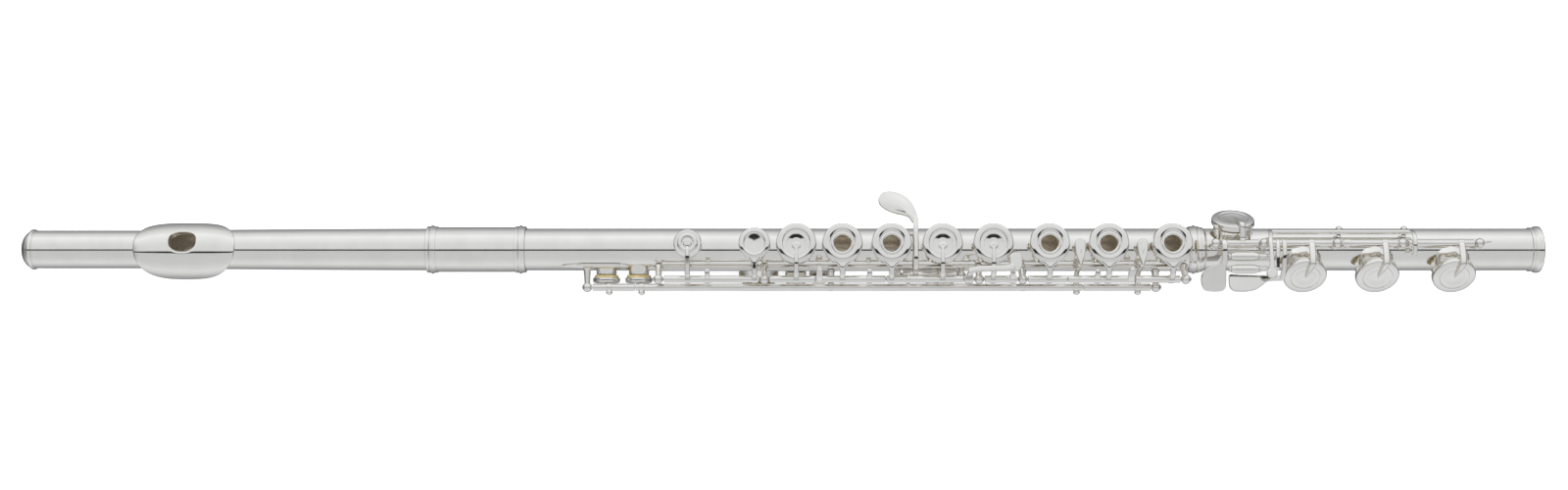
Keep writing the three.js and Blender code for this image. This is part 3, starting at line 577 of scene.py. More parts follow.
def oval(half_length, half_width, power=2.3, count=64):
    out = []
    for k in range(count):
        a = 2 * math.pi * k / count
        c, s = math.cos(a), math.sin(a)
        out.append(Vector((math.copysign(abs(c) ** (2 / power), c) * half_length,
                           math.copysign(abs(s) ** (2 / power), s) * half_width)))
    return out


def prism(outline, z0, z1, x, tilt):
    """An upright prism at a station, tilted about the bore axis."""
    points = [Vector((p.x, p.y, z)) for z in (z0, z1) for p in outline]
    turn = Matrix.Translation((x, 0, 0)) @ Matrix.Rotation(-radians(tilt), 4, "X")
    return moved((points, ring_faces(2, len(outline))), turn)


def build_head_tube():
    start, end = span("head_tube")
    stations = [end + (start - end) * k / 60 for k in range(61)]
    outside = [(head_radius(x), x) for x in stations]
    inside = [(r - WALL, x) for r, x in reversed(outside)]
    tube = object_from("head_tube_visual", [along_x(lathe(outside + inside, ROUND, closed=True))])
    cutter = object_from("cutter", [prism(oval(*HOLE), 2, 20, EMBOUCHURE_X, HOLE_TILT)])
    applied(tube, "DIFFERENCE", cutter)
    dress_tube(tube, lambda x: head_radius(x) - WALL / 2)
    finish_piece(tube, "silver", "head_joint", ["head_tube"])


def plate_radius(x, angle):
    """Height of the lip plate's outer face over the bore axis, greater on the lip side."""
    return 13.45 - math.sin(radians(angle)) - 3.3 * abs(x / PLATE_HALF) ** 3


def build_lip_plate():
    sectors = 96
    spokes = []
    for hole, edge in zip(oval(HOLE[0], 23, 2.3, sectors), oval(PLATE_HALF, PLATE_SPREAD, 2.4, sectors)):
        spokes.append((hole + Vector((0, HOLE_TILT)), edge + Vector((0, PLATE_TURN))))
    rows = [(-0.004, -PLATE_T), (-0.004, -0.35), (0.004, -0.12), (0.02, -0.02)]
    rows += [(0.05 + 0.93 * k / 18, 0.0) for k in range(19)]
    rows += [(0.992, -0.05), (0.999, -0.2), (1.0, -0.4), (0.998, -0.65), (0.985, -PLATE_T)]
    rows += [(0.9 - 0.9 * k / 10, -PLATE_T) for k in range(10)]
    points = []
    for share, drop in rows:
        for hole, edge in spokes:
            at = hole + (edge - hole) * share
            points.append(polar(EMBOUCHURE_X + at.x, plate_radius(at.x, at.y) + drop, at.y))
    piece("lip_plate_visual", "head_joint", [(points, hoop_faces(len(rows), sectors))],
          replaces=["lip_plate"])


def build_riser():
    """The wall between the tube and the plate, flaring where it meets each."""
    rows = [(1.0, 8.4), (1.0, 13), (1.2, 13), (1.22, 11.2), (1.25, 10.4), (1.36, 9.3), (1.4, 8.9)]
    outline = oval(*HOLE)
    points = []
    for scale, z in rows:
        for p in outline:
            angle = math.degrees(math.atan2(p.y * scale, z))
            ceiling = plate_radius(p.x * scale, angle) - PLATE_T / 2
            squeeze = min(1, ceiling / math.hypot(p.y * scale, z))
            points.append(Vector((EMBOUCHURE_X + p.x * scale, p.y * scale * squeeze, z * squeeze)))
    turn = Matrix.Rotation(-radians(HOLE_TILT), 4, "X")
    # The riser takes the bore silver with its painted glow.
    piece("riser_visual", "head_joint", [(points, hoop_faces(len(rows), len(outline)))],
          material="bore", replaces=["embouchure_riser"], turn=turn)


def build_crown():
    tip = span("crown")[0]
    profile = [
        (0, tip + 1.1), (3.6, tip + 1.22, 1.2), (6.1, tip + 2.1, 1.6), (7.9, tip + 3.6, 1.2),
        (8.7, tip + 4.9, 0.3), (8.8, tip + 5.2, 0.1), (9.35, tip + 5.35, 0.3),
        (9.7, tip + 6.2, 0.5), (9.45, tip + 7.2, 0.3), (9.05, tip + 7.35, 0.1),
        (9.15, tip + 7.6, 0.1), (9.0, tip + 7.9, 0.1), (8.2, tip + 7.95), (8.2, tip + 11, 0.2),
        (1.9, tip + 11), (1.9, tip + 3.6), (0, tip + 3.6),
    ]
    piece("crown_visual", "crown", [along_x(lathe(profile, ROUND))], replaces=["crown"])


def build_stopper():
    low, high = span("stopper_screw")
    radius = HEAD_CORK_R - WALL - 0.3
    screw = [(0, low), (1.35, low, 0.2)]
    turn_count = 30
    for k in range(turn_count):
        x = low + 0.6 + k * 0.9
        screw += [(1.5, x), (1.25, x + 0.45)]
    screw += [(1.5, high - 1.4), (radius - 0.4, high - 1.2, 0.2), (radius, high - 0.9, 0.2),
              (radius, high, 0.2), (0, high)]
    piece("stopper_screw_visual", "stopper", [along_x(lathe(screw, 48))], "steel",
          ["stopper_screw"])
    low, high = span("stopper_cork")
    cork = [(1.8, low), (radius, low, 0.5), (radius, high, 0.5), (1.8, high)]
    piece("stopper_cork_visual", "stopper", [along_x(lathe(cork, 64, closed=True))], "cork",
          ["stopper_cork"])
    low, high = span("stopper_nut")
    nut = [(1.8, low), (radius - 1, low, 0.3), (radius - 1, high, 0.3), (1.8, high)]
    piece("stopper_nut_visual", "stopper", [along_x(lathe(nut, 48, closed=True))], "steel",
          ["stopper_nut"])


# ---------- Body tube, barrel and ribs ----------
def joint_ring(x, base):
    """A joint ring: a sharp crest between two soft beads."""
    return [
        (base, x - 2.5), (base + 0.35, x - 2.4, 0.15), (base + 0.45, x - 2.0, 0.2),
        (base + 0.3, x - 1.6, 0.2), (base + 0.5, x - 0.8, 0.4), (RING_R, x, 0.25),
        (base + 0.5, x + 0.8, 0.4), (base + 0.3, x + 1.6, 0.2), (base + 0.45, x + 2.0, 0.2),
        (base + 0.35, x + 2.4, 0.15), (base, x + 2.5),
    ]


def build_barrel():
    start, end = span("barrel")
    profile = [(SLEEVE_IN_R, start), (SLEEVE_OUT_R - 0.1, start, 0.1)]
    profile += joint_ring(start + 2.6, SLEEVE_OUT_R) + joint_ring(end - 2.6, SLEEVE_OUT_R)
    profile += [(SLEEVE_OUT_R - 0.1, end, 0.1), (SLEEVE_IN_R, end)]
    piece("barrel_visual", "body_joint", [along_x(lathe(profile, ROUND, closed=True))],
          replaces=["barrel"])


BODY_HOLES = [
    (X["c_sharp"], 0, SMALL), (X["c"], 0, TOUCH), (X["b_flat"], 0, LARGE), (X["a"], 0, LARGE),
    (X["g_upper"], 0, LARGE), (X["g_lower"], 0, LARGE), (X["f_sharp"], 0, LARGE),
    (X["f"], 0, LARGE), (X["e"], 0, LARGE), (X["d"], 0, LARGE), (X["thumb"], BACK_ANGLE, LARGE),
    (X["g_lower"], BACK_ANGLE, LARGE), (X["d_sharp_trill"], TRILL_ANGLE, TRILL),
    (X["d_trill"], TRILL_ANGLE, TRILL),
]
FOOT_HOLES = [
    (X["d_sharp_foot"], D_SHARP_ANGLE, FOOT), (X["c_sharp_foot"], FOOT_ANGLE, FOOT),
    (X["c_foot"], FOOT_ANGLE, FOOT), (X["b_foot"], FOOT_ANGLE, FOOT),
]


def chimney(x, angle, size):
    """A drawn tone hole: a straight wall with a rolled rim."""
    rim = size["rim"]
    wall = size["chimney"]
    profile = [
        (size["hole"], 5), (wall, 5), (wall, rim - 0.5), (wall + 0.22, rim - 0.25, 0.2),
        (wall - 0.1, rim, 0.2), (size["hole"], rim - 0.12, 0.15),
    ]
    return outward(lathe(profile, CUP_SIDES, closed=True), x, angle)


def bore_cutter(x, angle, size):
    return outward(lathe([(0, 3), (size["hole"] + 0.05, 3), (size["hole"] + 0.05, 20), (0, 20)],
                         CUP_SIDES), x, angle)


def trimmed(part, radius):
    """Chimney points pulled out of the bore, so that nothing stands inside it."""
    points, faces = part
    out = []
    for p in points:
        reach = math.hypot(p.y, p.z)
        scale = radius / reach if reach < radius else 1
        out.append(Vector((p.x, p.y * scale, p.z * scale)))
    return out, faces


def pierced_tube(name, profile, holes, node, body):
    tube = object_from(name, [along_x(lathe(profile, ROUND, closed=True))])
    cutter = object_from("cutter", [bore_cutter(*hole) for hole in holes])
    applied(tube, "DIFFERENCE", cutter)
    dress_tube(tube, lambda x: TUBE_R - WALL / 2)
    finish_piece(tube, "silver", body, [node])
    rims = [trimmed(chimney(*hole), TUBE_R - WALL * 0.6) for hole in holes]
    piece(name.replace("tube", "tone_holes"), body, rims)


def build_body_tube():
    start, end = span("body_tube")
    profile = [(TUBE_R - WALL, start), (TUBE_R, start, 0.1), (TUBE_R, end, 0.1),
               (TUBE_R - WALL, end)]
    pierced_tube("body_tube_visual", profile, BODY_HOLES, "body_tube", "body_joint")


def strap(x0, x1, angle0, angle1, tail0=0, tail1=0):
    """A rib lying on the tube, with softened edges and ends drawn to points over the tails."""
    inner = TUBE_R + 0.05
    thickness = 1.05
    steps = 10
    stations = [x0, x0 + 0.3]
    if tail0:
        stations = [x0 + tail0 * (k / 8) ** 1.5 for k in range(9)]
    stations.append(x0 + max(tail0, 0.3) + 0.5)
    closing = [x1 - 0.3, x1]
    if tail1:
        closing = [x1 - tail1 * (k / 8) ** 1.5 for k in reversed(range(9))]
    stations += [x1 - max(tail1, 0.3) - 0.5] + closing
    middle, half = (angle0 + angle1) / 2, (angle1 - angle0) / 2
    points = []
    for x in stations:
        share = 1.0
        if tail0 and x < x0 + tail0:
            share = max(0.06, ((x - x0) / tail0) ** 0.7)
        if tail1 and x > x1 - tail1:
            share = max(0.06, ((x1 - x) / tail1) ** 0.7)
        for k in range(steps + 1):
            u = -1 + 2 * k / steps
            soft = 0.3 * abs(u) ** 6
            points.append(polar(x, inner + thickness - soft, middle + half * share * u * 0.985))
        for k in range(steps + 1):
            u = 1 - 2 * k / steps
            points.append(polar(x, inner, middle + half * share * u))
    return points, ring_faces(len(stations), 2 * (steps + 1))


def post(x, line, foot_angle, radius=2.3, shank=1.5, flare=0.6):
    """A post soldered to a rib, ending in a ball that carries the steel."""
    centre = Vector((x, line.y, line.z))
    foot = polar(x, TUBE_R + 0.9, foot_angle)
    return merge(bar(foot, centre, shank, shank * 0.8, flare), ball(centre, radius))


def build_ribs():
    posts = [post(x, STACK_ROD, -66) for x in STACK_POSTS]
    posts += [post(x, TRILL_ROD, -80, 1.9) for x in TRILL_GUIDES]
    posts += [post(TRILL_POSTS[1], TRILL_ROD, -80)]
    posts += [post(x, G_SHARP_ROD, -78, 1.9, 1.1, 0.3) for x in G_SHARP_POSTS]
    piece("main_rib_visual", "body_joint", [strap(-64, 189.5, -84, -61, tail0=5), *posts],
          replaces=["main_rib"])
    piece("trill_rib_visual", "body_joint",
          [strap(-104, -73, -69, -55, tail0=9, tail1=5), post(TRILL_POSTS[0], TRILL_ROD, -66)],
          replaces=["trill_rib"])
    back = [post(x, THUMB_ROD, 148, 1.9) for x in THUMB_POSTS]
    piece("back_rib_visual", "body_joint", [strap(-31, 30, 140, 156, tail0=4, tail1=4), *back],
          replaces=["back_rib"])


def build_steels():
    for node, line in [("upper_steel", STACK_ROD), ("lower_steel", STACK_ROD),
                       ("g_sharp_steel", G_SHARP_ROD), ("thumb_steel", THUMB_ROD)]:
        low, high = span(node)
        piece(node + "_visual", "body_joint", [rod(low, high, STEEL_R, line)], "steel", [node])
    for node in ("d_sharp_steel", "b_steel"):
        low, high = span(node)
        piece(node + "_visual", "foot_joint", [rod(low, high, STEEL_R, FOOT_ROD)], "steel", [node])


# ---------- Keys ----------
def cup_wall(r, base, top, lip=0.6):
    """The inside and the rounded shoulder that all cups share, up to the ridge."""
    return [
        (r - 0.6, base + PAD_T + 0.3), (r - 0.6, base + lip), (r - 0.15, base + lip, 0.1),
        (r, base + lip + 0.2, 0.15), (r, top - 1.5, 0.3), (r * 0.985, top - 0.75, 0.3),
        (r * 0.942, top - 0.38), (r * 0.9, top - 0.28), (r * 0.857, top - 0.19),
        (r * 0.815, top - 0.105), (r * 0.775, top - 0.035), (r * 0.741, top),
    ]


def plateau(size, x, angle, lip=0.6):
    """A closed cup: a rounded shoulder, a flat face and a shallow dish in its middle."""
    r = size["cup"]
    base = size["rim"] + PAD_FLOOR
    top = base + CUP_H
    profile = [
        (0, base + PAD_T + 0.3), *cup_wall(r, base, top, lip), (r * 0.69, top - 0.08, 0.15),
        (r * 0.665, top - 0.36, 0.2), (r * 0.47, top - 0.36, 0.1), (r * 0.46, top - 0.43, 0.05),
        (r * 0.28, top - 0.61, 0.1), (r * 0.25, top - 0.62, 0.1), (0, top - 0.62),
    ]
    return outward(lathe(profile), x, angle)


def finger_cup(size, x, angle):
    """A closed cup that the finger touches: its whole middle is one smooth hollow."""
    r = size["cup"]
    base = size["rim"] + PAD_FLOOR
    top = base + CUP_H
    profile = [
        (0, base + PAD_T + 0.3), *cup_wall(r, base, top), (r * 0.68, top - 0.08, 0.3),
        (r * 0.64, top - 0.42, 0.3), (r * 0.56, top - 0.46, 0.3), (r * 0.34, top - 0.64, 0.8),
        (r * 0.1, top - 0.78, 0.5), (0, top - 0.79),
    ]
    return outward(lathe(profile), x, angle)


def stepped_cup(size, x, angle):
    """The smallest cup: a low rim round a raised middle with a button on it."""
    r = size["cup"]
    base = size["rim"] + PAD_FLOOR
    top = base + CUP_H
    profile = [
        (0, base + PAD_T + 0.3), (r - 0.6, base + PAD_T + 0.3), (r - 0.6, base + 0.6),
        (r, base + 0.7, 0.15), (r, top - 2.1, 0.4), (r * 0.93, top - 1.5, 0.4),
        (r * 0.8, top - 1.35, 0.3), (r * 0.715, top - 1.3, 0.25), (r * 0.69, top - 0.6, 0.3),
        (r * 0.58, top - 0.3, 0.3), (r * 0.44, top - 0.38, 0.2), (r * 0.4, top - 0.62, 0.2),
        (r * 0.3, top - 0.6, 0.2), (r * 0.26, top - 0.1, 0.3), (0, top - 0.02),
    ]
    return outward(lathe(profile), x, angle)


def ring_cup(size, x, angle):
    """An open-hole cup: the same shoulder and ridge round a finger hole with its grommet."""
    r = size["cup"]
    base = size["rim"] + PAD_FLOOR
    top = base + CUP_H
    hole = FINGER_HOLE_R
    profile = [
        (hole, base + PAD_T), *cup_wall(r, base, top), (r * 0.725, top - 0.02, 0.15),
        (r * 0.635, top - 0.155, 0.1), (r * 0.615, top - 0.4, 0.25), (hole + 1.35, top - 0.42, 0.2),
        (hole + 1.15, top - 0.12, 0.3), (hole + 0.45, top - 0.05, 0.35), (hole, top - 0.5, 0.3),
    ]
    return outward(lathe(profile, closed=True), x, angle)


def pad_part(size, x, angle, hole=0, bulge=0.9):
    base = size["rim"] + PAD_FLOOR
    r = size["cup"] - bulge
    profile = [(r - 0.5, base, 0.5), (r, base + 0.4, 0.5), (r, base + PAD_T)]
    groove = (size["chimney"] + size["hole"]) / 2
    profile = [(groove - 0.5, base), (groove, base + 0.12, 0.3), (groove + 0.5, base)] + profile
    if hole:
        ring = [(hole, base + PAD_T), (hole, base, 0.2), *profile]
        return outward(lathe(ring, closed=True), x, angle)
    return outward(lathe([(0, base), *profile, (0, base + PAD_T)]), x, angle)


def pointed_arm(x, size):
    """Arm over a closed cup, finely drawn out to the button near its middle."""
    top = size["rim"] + PAD_FLOOR + CUP_H
    y, z = STACK_ROD.y, STACK_ROD.z
    return sweep([
        (Vector((x, y - 0.3, z + 1.1)), 2.6, 1.5), (Vector((x, y + 0.5, z + 3.4)), 2.5, 1.5),
        (Vector((x, y + 2.6, top - 1.2)), 2.4, 1.6), (Vector((x, -size["cup"] - 0.6, top + 0.1)), 2.3, 1.5),
        (Vector((x, -size["cup"] * 0.66, top + 0.42)), 1.9, 1.1),
        (Vector((x, -size["cup"] * 0.35, top + 0.12)), 1.3, 0.8),
        (Vector((x, BOSS_Y, top - 0.42)), 0.9, 0.7),
    ], squareness=2.6)


def boss(x, size):
    """The small button in a dished cup, under the tip of its arm."""
    top = size["rim"] + PAD_FLOOR + CUP_H
    profile = [(0, top - 0.9), (2.1, top - 0.9), (2.0, top - 0.62, 0.1), (1.45, top - 0.3, 0.25),
               (0, top - 0.2)]
    return moved(lathe(profile, 32), Matrix.Translation((x, BOSS_Y, 0)))


def tail_arm(x, size):
    """Arm of a finger cup: a narrow stem that widens into the cup's shoulder."""
    top = size["rim"] + PAD_FLOOR + CUP_H
    y, z = STACK_ROD.y, STACK_ROD.z
    r = size["cup"]
    wide = r / LARGE["cup"]
    return sweep([
        (Vector((x, y - 0.3, z + 1.1)), 2.6, 1.5), (Vector((x, y + 0.5, z + 3.4)), 2.5, 1.5),
        (Vector((x, y + 2.2, top - 2.0)), 2.5, 1.6), (Vector((x, -r - 2.2, top - 1.15)), 3.0, 1.4),
        (Vector((x, -r - 0.6, top - 1.0)), 5.4 * wide, 1.3),
        (Vector((x, -r + 0.9, top - 0.95)), 9.0 * wide, 1.1),
        (Vector((x, -r + 2.2, top - 0.9)), 10.8 * wide, 0.8),
    ], squareness=2.6)


def kicker(x):
    """Tail under the rod, which meets the rib when the key is open."""
    y, z = STACK_ROD.y, STACK_ROD.z
    return sweep([
        (Vector((x, y + 0.6, z - 0.9)), 2.2, 1.2), (Vector((x, y + 1.5, z - 2.0)), 2.2, 1.1),
        (Vector((x, y + 1.9, z - 3.2)), 2.2, 1.0)])


def ear(x):
    """Upright tongue from the hinge tube towards the body."""
    y, z = STACK_ROD.y, STACK_ROD.z
    reach = 4.6
    return sweep([
        (Vector((x, y + 0.3, z + 1.0)), 2.3, 1.3), (Vector((x, y + reach * 0.45, z + 2.6)), 2.3, 1.2),
        (Vector((x, y + reach, z + 2.9)), 2.2, 1.1)], squareness=4)


def clutch(x):
    """Linking block with its adjusting screw."""
    y, z = STACK_ROD.y, STACK_ROD.z
    block = sweep([
        (Vector((x, y - 0.4, z + 0.8)), 3.0, 2.2), (Vector((x, y + 1.6, z + 2.7)), 3.0, 2.2),
        (Vector((x, y + 4.6, z + 4.4)), 2.9, 2.0)], squareness=5)
    place = Vector((x, y + 4.3, z + 2.6))
    screw = bar(place, place + Vector((0, 0, 3.4)), 1.05, 1.05)
    head = bar(place + Vector((0, 0, 3.1)), place + Vector((0, 0, 4.0)), 1.3, 1.2)
    return merge(block, screw, head)


CUP_STYLES = {
    "open": (ring_cup, tail_arm), "finger": (finger_cup, tail_arm),
    "flat": (plateau, pointed_arm), "stepped": (stepped_cup, pointed_arm),
}


def stack_key(name, x0, x1, cups, extras=()):
    """A key of the stack with its cups and pads, each cup as (pad node, x, size, style)."""
    parts = [hinge(x0, x1, STACK_ROD), *extras]
    turn = lifted(STACK_ROD, LIFT)
    for pad_name, x, size, style in cups:
        make_cup, make_arm = CUP_STYLES[style]
        parts += [make_cup(size, x, 0), make_arm(x, size), collar(x, STACK_ROD)]
        if style == "flat":
            parts.append(boss(x, size))
        hole = FINGER_HOLE_R if style == "open" else 0
        piece(pad_name + "_visual", name, [pad_part(size, x, 0, hole)], "pad", [pad_name], turn)
    piece(name + "_visual", name, parts, replaces=[name], turn=turn)


def stop(x):
    """A collar with its ear and its tail."""
    return merge(collar(x, STACK_ROD), ear(x), kicker(x))


def build_stack():
    stack_key("c_key", -56, -11.8, [
        ("c_sharp_pad", X["c_sharp"], SMALL, "stepped"), ("c_pad", X["c"], TOUCH, "finger")],
        [stop(-35.8)])
    stack_key("b_flat_key", -6.6, 14.4, [("b_flat_pad", X["b_flat"], LARGE, "flat")])
    stack_key("a_key", 14.9, 47.4, [("a_pad", X["a"], LARGE, "open")], [clutch(16.5), stop(39.9)])
    stack_key("g_key", 47.9, 83.6, [
        ("g_upper_pad", X["g_upper"], LARGE, "open"), ("g_lower_pad", X["g_lower"], LARGE, "flat")],
        [collar(58, STACK_ROD, 1.6, 2.2)])
    stack_key("f_sharp_key", 93.8, 108.7, [("f_sharp_pad", X["f_sharp"], LARGE, "flat")],
              [stop(106.7)])
    stack_key("f_key", 114.1, 132, [("f_pad", X["f"], LARGE, "open")])
    stack_key("e_key", 132.5, 163.6, [("e_pad", X["e"], LARGE, "open")],
              [clutch(161.9), stop(146.2)])
    stack_key("d_key", 164.1, 184.9, [("d_pad", X["d"], LARGE, "open")])


# ---------- Trill keys ----------
def teardrop(length, width):
    r = width / 2
    return closed_curve([
        (0, length / 2), (-r * 0.72, length / 2 - r * 0.35), (-r, length / 2 - r),
        (-r * 0.86, length * 0.02), (-r * 0.5, -length * 0.3), (0, -length / 2),
        (r * 0.5, -length * 0.3), (r * 0.86, length * 0.02), (r, length / 2 - r),
        (r * 0.72, length / 2 - r * 0.35),
    ])


def trill_touch(arm_x, touch_x):
    y, z = TRILL_ROD.y, TRILL_ROD.z
    stem = sweep([
        (Vector((arm_x, y - 0.4, z + 0.6)), 2.6, 1.4), (Vector((arm_x, -14.6, 2.6)), 2.4, 1.3),
        (Vector((arm_x, -12.4, 6.5)), 2.2, 1.3),
        (Vector(((arm_x + touch_x) / 2, -11.2, 10.4)), 2.2, 1.3),
        (Vector((touch_x, -10.2, 13.3)), 2.2, 1.3), (Vector((touch_x, -7.6, 14.9)), 2.6, 1.3)])
    touch = plate(teardrop(12.8, 5.4), 1.8, Vector((touch_x, -4.9, 15.2)), 3, 0.8, dome=0.25)
    return merge(stem, touch)


def finial(x, line):
    """The pointed end of a trill arm, on the player's side of its rod."""
    profile = [(0, 0.2), (1.5, 0.6, 0.3), (1.35, 2.0, 0.4), (1.75, 2.7, 0.5), (0.6, 3.7, 0.3), (0, 4.0)]
    turn = Matrix.Translation((x, line.y, line.z)) @ Matrix.Rotation(math.pi / 2, 4, "X")
    return moved(lathe(profile, 20), turn)


def trill_arm(x, arm_x):
    back = polar(x, TRILL["rim"] + PAD_FLOOR + CUP_H, TRILL_ANGLE)
    return sweep([
        (Vector((arm_x, TRILL_ROD.y - 0.9, TRILL_ROD.z + 0.4)), 2.6, 1.3),
        (Vector((arm_x, TRILL_ROD.y - 1.1, TRILL_ROD.z - 2)), 2.4, 1.3),
        (Vector(((arm_x + x) / 2, TRILL_ROD.y + 0.2, back.z - 0.4)), 2.4, 1.2),
        (Vector((x, back.y + 0.6, back.z - 0.3)), 2.0, 1.2)])


def build_trills():
    sharp = [
        rod(TRILL_POSTS[0] - 2.6, TRILL_POSTS[1] + 2.6, STEEL_R, TRILL_ROD),
        rod(-89.8, -70.1, HINGE_R, TRILL_ROD), rod(140.6, 172, HINGE_R, TRILL_ROD),
        plateau(TRILL, X["d_sharp_trill"], TRILL_ANGLE, 1.3), trill_arm(X["d_sharp_trill"], -82),
        trill_touch(165.9, 167), collar(-82, TRILL_ROD), finial(-82, TRILL_ROD),
        collar(165.9, TRILL_ROD), finial(165.9, TRILL_ROD)]
    piece("d_sharp_trill_key_visual", "d_sharp_trill_key", sharp, replaces=["d_sharp_trill_key"])
    natural = [
        hinge(-69.6, 140.1, TRILL_ROD), plateau(TRILL, X["d_trill"], TRILL_ANGLE, 1.3),
        trill_arm(X["d_trill"], -66.8), trill_touch(137.2, 138), collar(-66.8, TRILL_ROD),
        finial(-66.8, TRILL_ROD), collar(137.2, TRILL_ROD), finial(137.2, TRILL_ROD)]
    piece("d_trill_key_visual", "d_trill_key", natural, replaces=["d_trill_key"])
    for name in ("d_sharp_trill", "d_trill"):
        pad = pad_part(TRILL, X[name], TRILL_ANGLE, bulge=0.65)
        piece(name + "_pad_visual", name + "_key", [pad], "pad", [name + "_pad"])


# ---------- G sharp, thumb and side levers ----------
def build_g_sharp():
    y, z = G_SHARP_ROD.y, G_SHARP_ROD.z
    lever_x = joint_at("g_sharp_press").x
    back = polar(X["g_lower"], LARGE["rim"] + PAD_FLOOR + CUP_H - 0.35, BACK_ANGLE)
    lever = sweep([
        (Vector((lever_x, y - 0.5, z + 0.6)), 2.6, 1.4), (Vector((lever_x, -12.6, 7.5)), 2.5, 1.4),
        (Vector((lever_x, -9.6, 11.6)), 2.4, 1.4), (Vector((lever_x, -3, 13.3)), 2.4, 1.4),
        (Vector((lever_x, 6, 13.1)), 2.5, 1.4), (Vector((lever_x, 11.5, 11.9)), 2.6, 1.3),
        (Vector((lever_x - 0.4, 15.5, 11.0)), 2.0, 0.9)])
    spatula = closed_curve([
        (2.0, -10.6), (1.6, -7.6), (0.7, -3.8), (-1.2, -0.2), (-4.3, 2.9), (-7.7, 4.5),
        (-11.5, 5.1), (-14.6, 4.3), (-16.2, 2.2), (-16.4, -0.4), (-15.2, -2.7), (-12.7, -4.6),
        (-8.9, -6.2), (-5.0, -7.2), (-2.2, -8.4), (-0.9, -10.6)])
    touch = plate(spatula, 1.5, Vector((60.8, 20.8, 10.2)), -8, 0.6, dome=0.9)
    arm = sweep([
        (Vector((X["g_lower"], y - 0.4, z + 0.4)), 3, 1.4), (Vector((X["g_lower"], -15.4, -0.6)), 2.8, 1.4),
        (Vector((X["g_lower"], -18.2, -4.6)), 2.6, 1.4),
        (Vector((X["g_lower"], back.y - 4.4, back.z + 2.6)), 2.2, 1.3),
        (Vector((X["g_lower"], back.y, back.z)), 1.4, 1.0)])
    parts = [hinge(55.8, 80.8, G_SHARP_ROD), lever, touch, plateau(LARGE, X["g_lower"], BACK_ANGLE),
             arm, collar(lever_x, G_SHARP_ROD), collar(X["g_lower"], G_SHARP_ROD)]
    piece("g_sharp_key_visual", "g_sharp_key", parts, replaces=["g_sharp_key"])
    piece("g_sharp_pad_visual", "g_sharp_key", [pad_part(LARGE, X["g_lower"], BACK_ANGLE)], "pad",
          ["g_sharp_pad"])


def rounded_box(width, height, radius, per=6):
    """An anticlockwise rectangle with round corners."""
    out = []
    for cx, cy, start in ((1, 1, 0), (-1, 1, 90), (-1, -1, 180), (1, -1, 270)):
        centre = Vector((cx * (width / 2 - radius), cy * (height / 2 - radius)))
        for k in range(per + 1):
            a = radians(start + 90 * k / per)
            out.append(centre + Vector((math.cos(a), math.sin(a))) * radius)
    return out


def build_thumb_keys():
    y, z = THUMB_ROD.y, THUMB_ROD.z
    x = X["thumb"]
    back = polar(x, LARGE["rim"] + PAD_FLOOR + CUP_H - 0.35, BACK_ANGLE)
    arm = sweep([
        (Vector((x, y + 0.4, z - 1.1)), 3, 1.4), (Vector((x, y - 4.4, -16.9)), 2.8, 1.4),
        (Vector((x, -0.6, -18.4)), 2.6, 1.3), (Vector((x, back.y, back.z)), 1.4, 1.0)])
    touch_arm = sweep([
        (Vector((6, y + 0.4, z - 1.1)), 3, 1.3), (Vector((6, 1, -16.5)), 3, 1.3),
        (Vector((6, -3, -17.2)), 3, 1.2)])
    touch = plate(rounded_box(10, 14, 4), 1.6, Vector((5.6, -8, -15.8)), -16, 0.7)
    parts = [hinge(-23.8, 11.2, THUMB_ROD), plateau(LARGE, x, BACK_ANGLE), arm, touch_arm, touch,
             collar(x, THUMB_ROD), collar(6, THUMB_ROD)]
    turn = lifted(THUMB_ROD, LIFT)
    piece("thumb_b_key_visual", "thumb_b_key", parts, replaces=["thumb_b_key"], turn=turn)
    piece("thumb_b_pad_visual", "thumb_b_key", [pad_part(LARGE, x, BACK_ANGLE)], "pad",
          ["thumb_b_pad"], turn)
    lever = [
        hinge(11.7, 22.9, THUMB_ROD), collar(17, THUMB_ROD),
        sweep([(Vector((17, y + 0.4, z - 1.1)), 3, 1.3), (Vector((17, 1, -17)), 3, 1.3),
               (Vector((17, -3, -17.8)), 3, 1.2)]),
        plate(rounded_box(9, 12, 3.6), 1.6, Vector((16.6, -7.4, -16.6)), -14, 0.7)]
    piece("thumb_b_flat_lever_visual", "thumb_b_flat_lever", lever,
          replaces=["thumb_b_flat_lever"], turn=lifted(THUMB_ROD, 3))


def build_side_lever():
    y, z = STACK_ROD.y, STACK_ROD.z
    stem = sweep([
        (Vector((86.2, y - 0.4, z + 1)), 3.4, 1.5), (Vector((86.2, y + 0.1, 13)), 3.2, 1.5),
        (Vector((86.4, -15.4, 16.6)), 2.9, 1.6), (Vector((87.6, -13.8, 18.4)), 2.6, 1.5)])
    run = sweep([
        (Vector((85.6, -14.6, 18.3)), 2.6, 1.3), (Vector((90, -13.9, 19.2)), 2.8, 1.3),
        (Vector((97, -13.6, 19.4)), 2.8, 1.3), (Vector((103, -13.4, 19.1)), 2.9, 1.3),
        (Vector((107, -12.4, 18.5)), 3.6, 1.3)], side=Vector((0, 1, 0)))
    touch = plate(rounded_box(6, 9.0, 2.9), 1.4, Vector((107.6, -10.2, 18.5)), 6, 0.65, dome=0.2)
    parts = [hinge(84.1, 88.4, STACK_ROD), stem, run, touch, collar(86.2, STACK_ROD, 3.6, 2.1)]
    piece("b_flat_side_lever_visual", "b_flat_side_lever", parts, replaces=["b_flat_side_lever"])


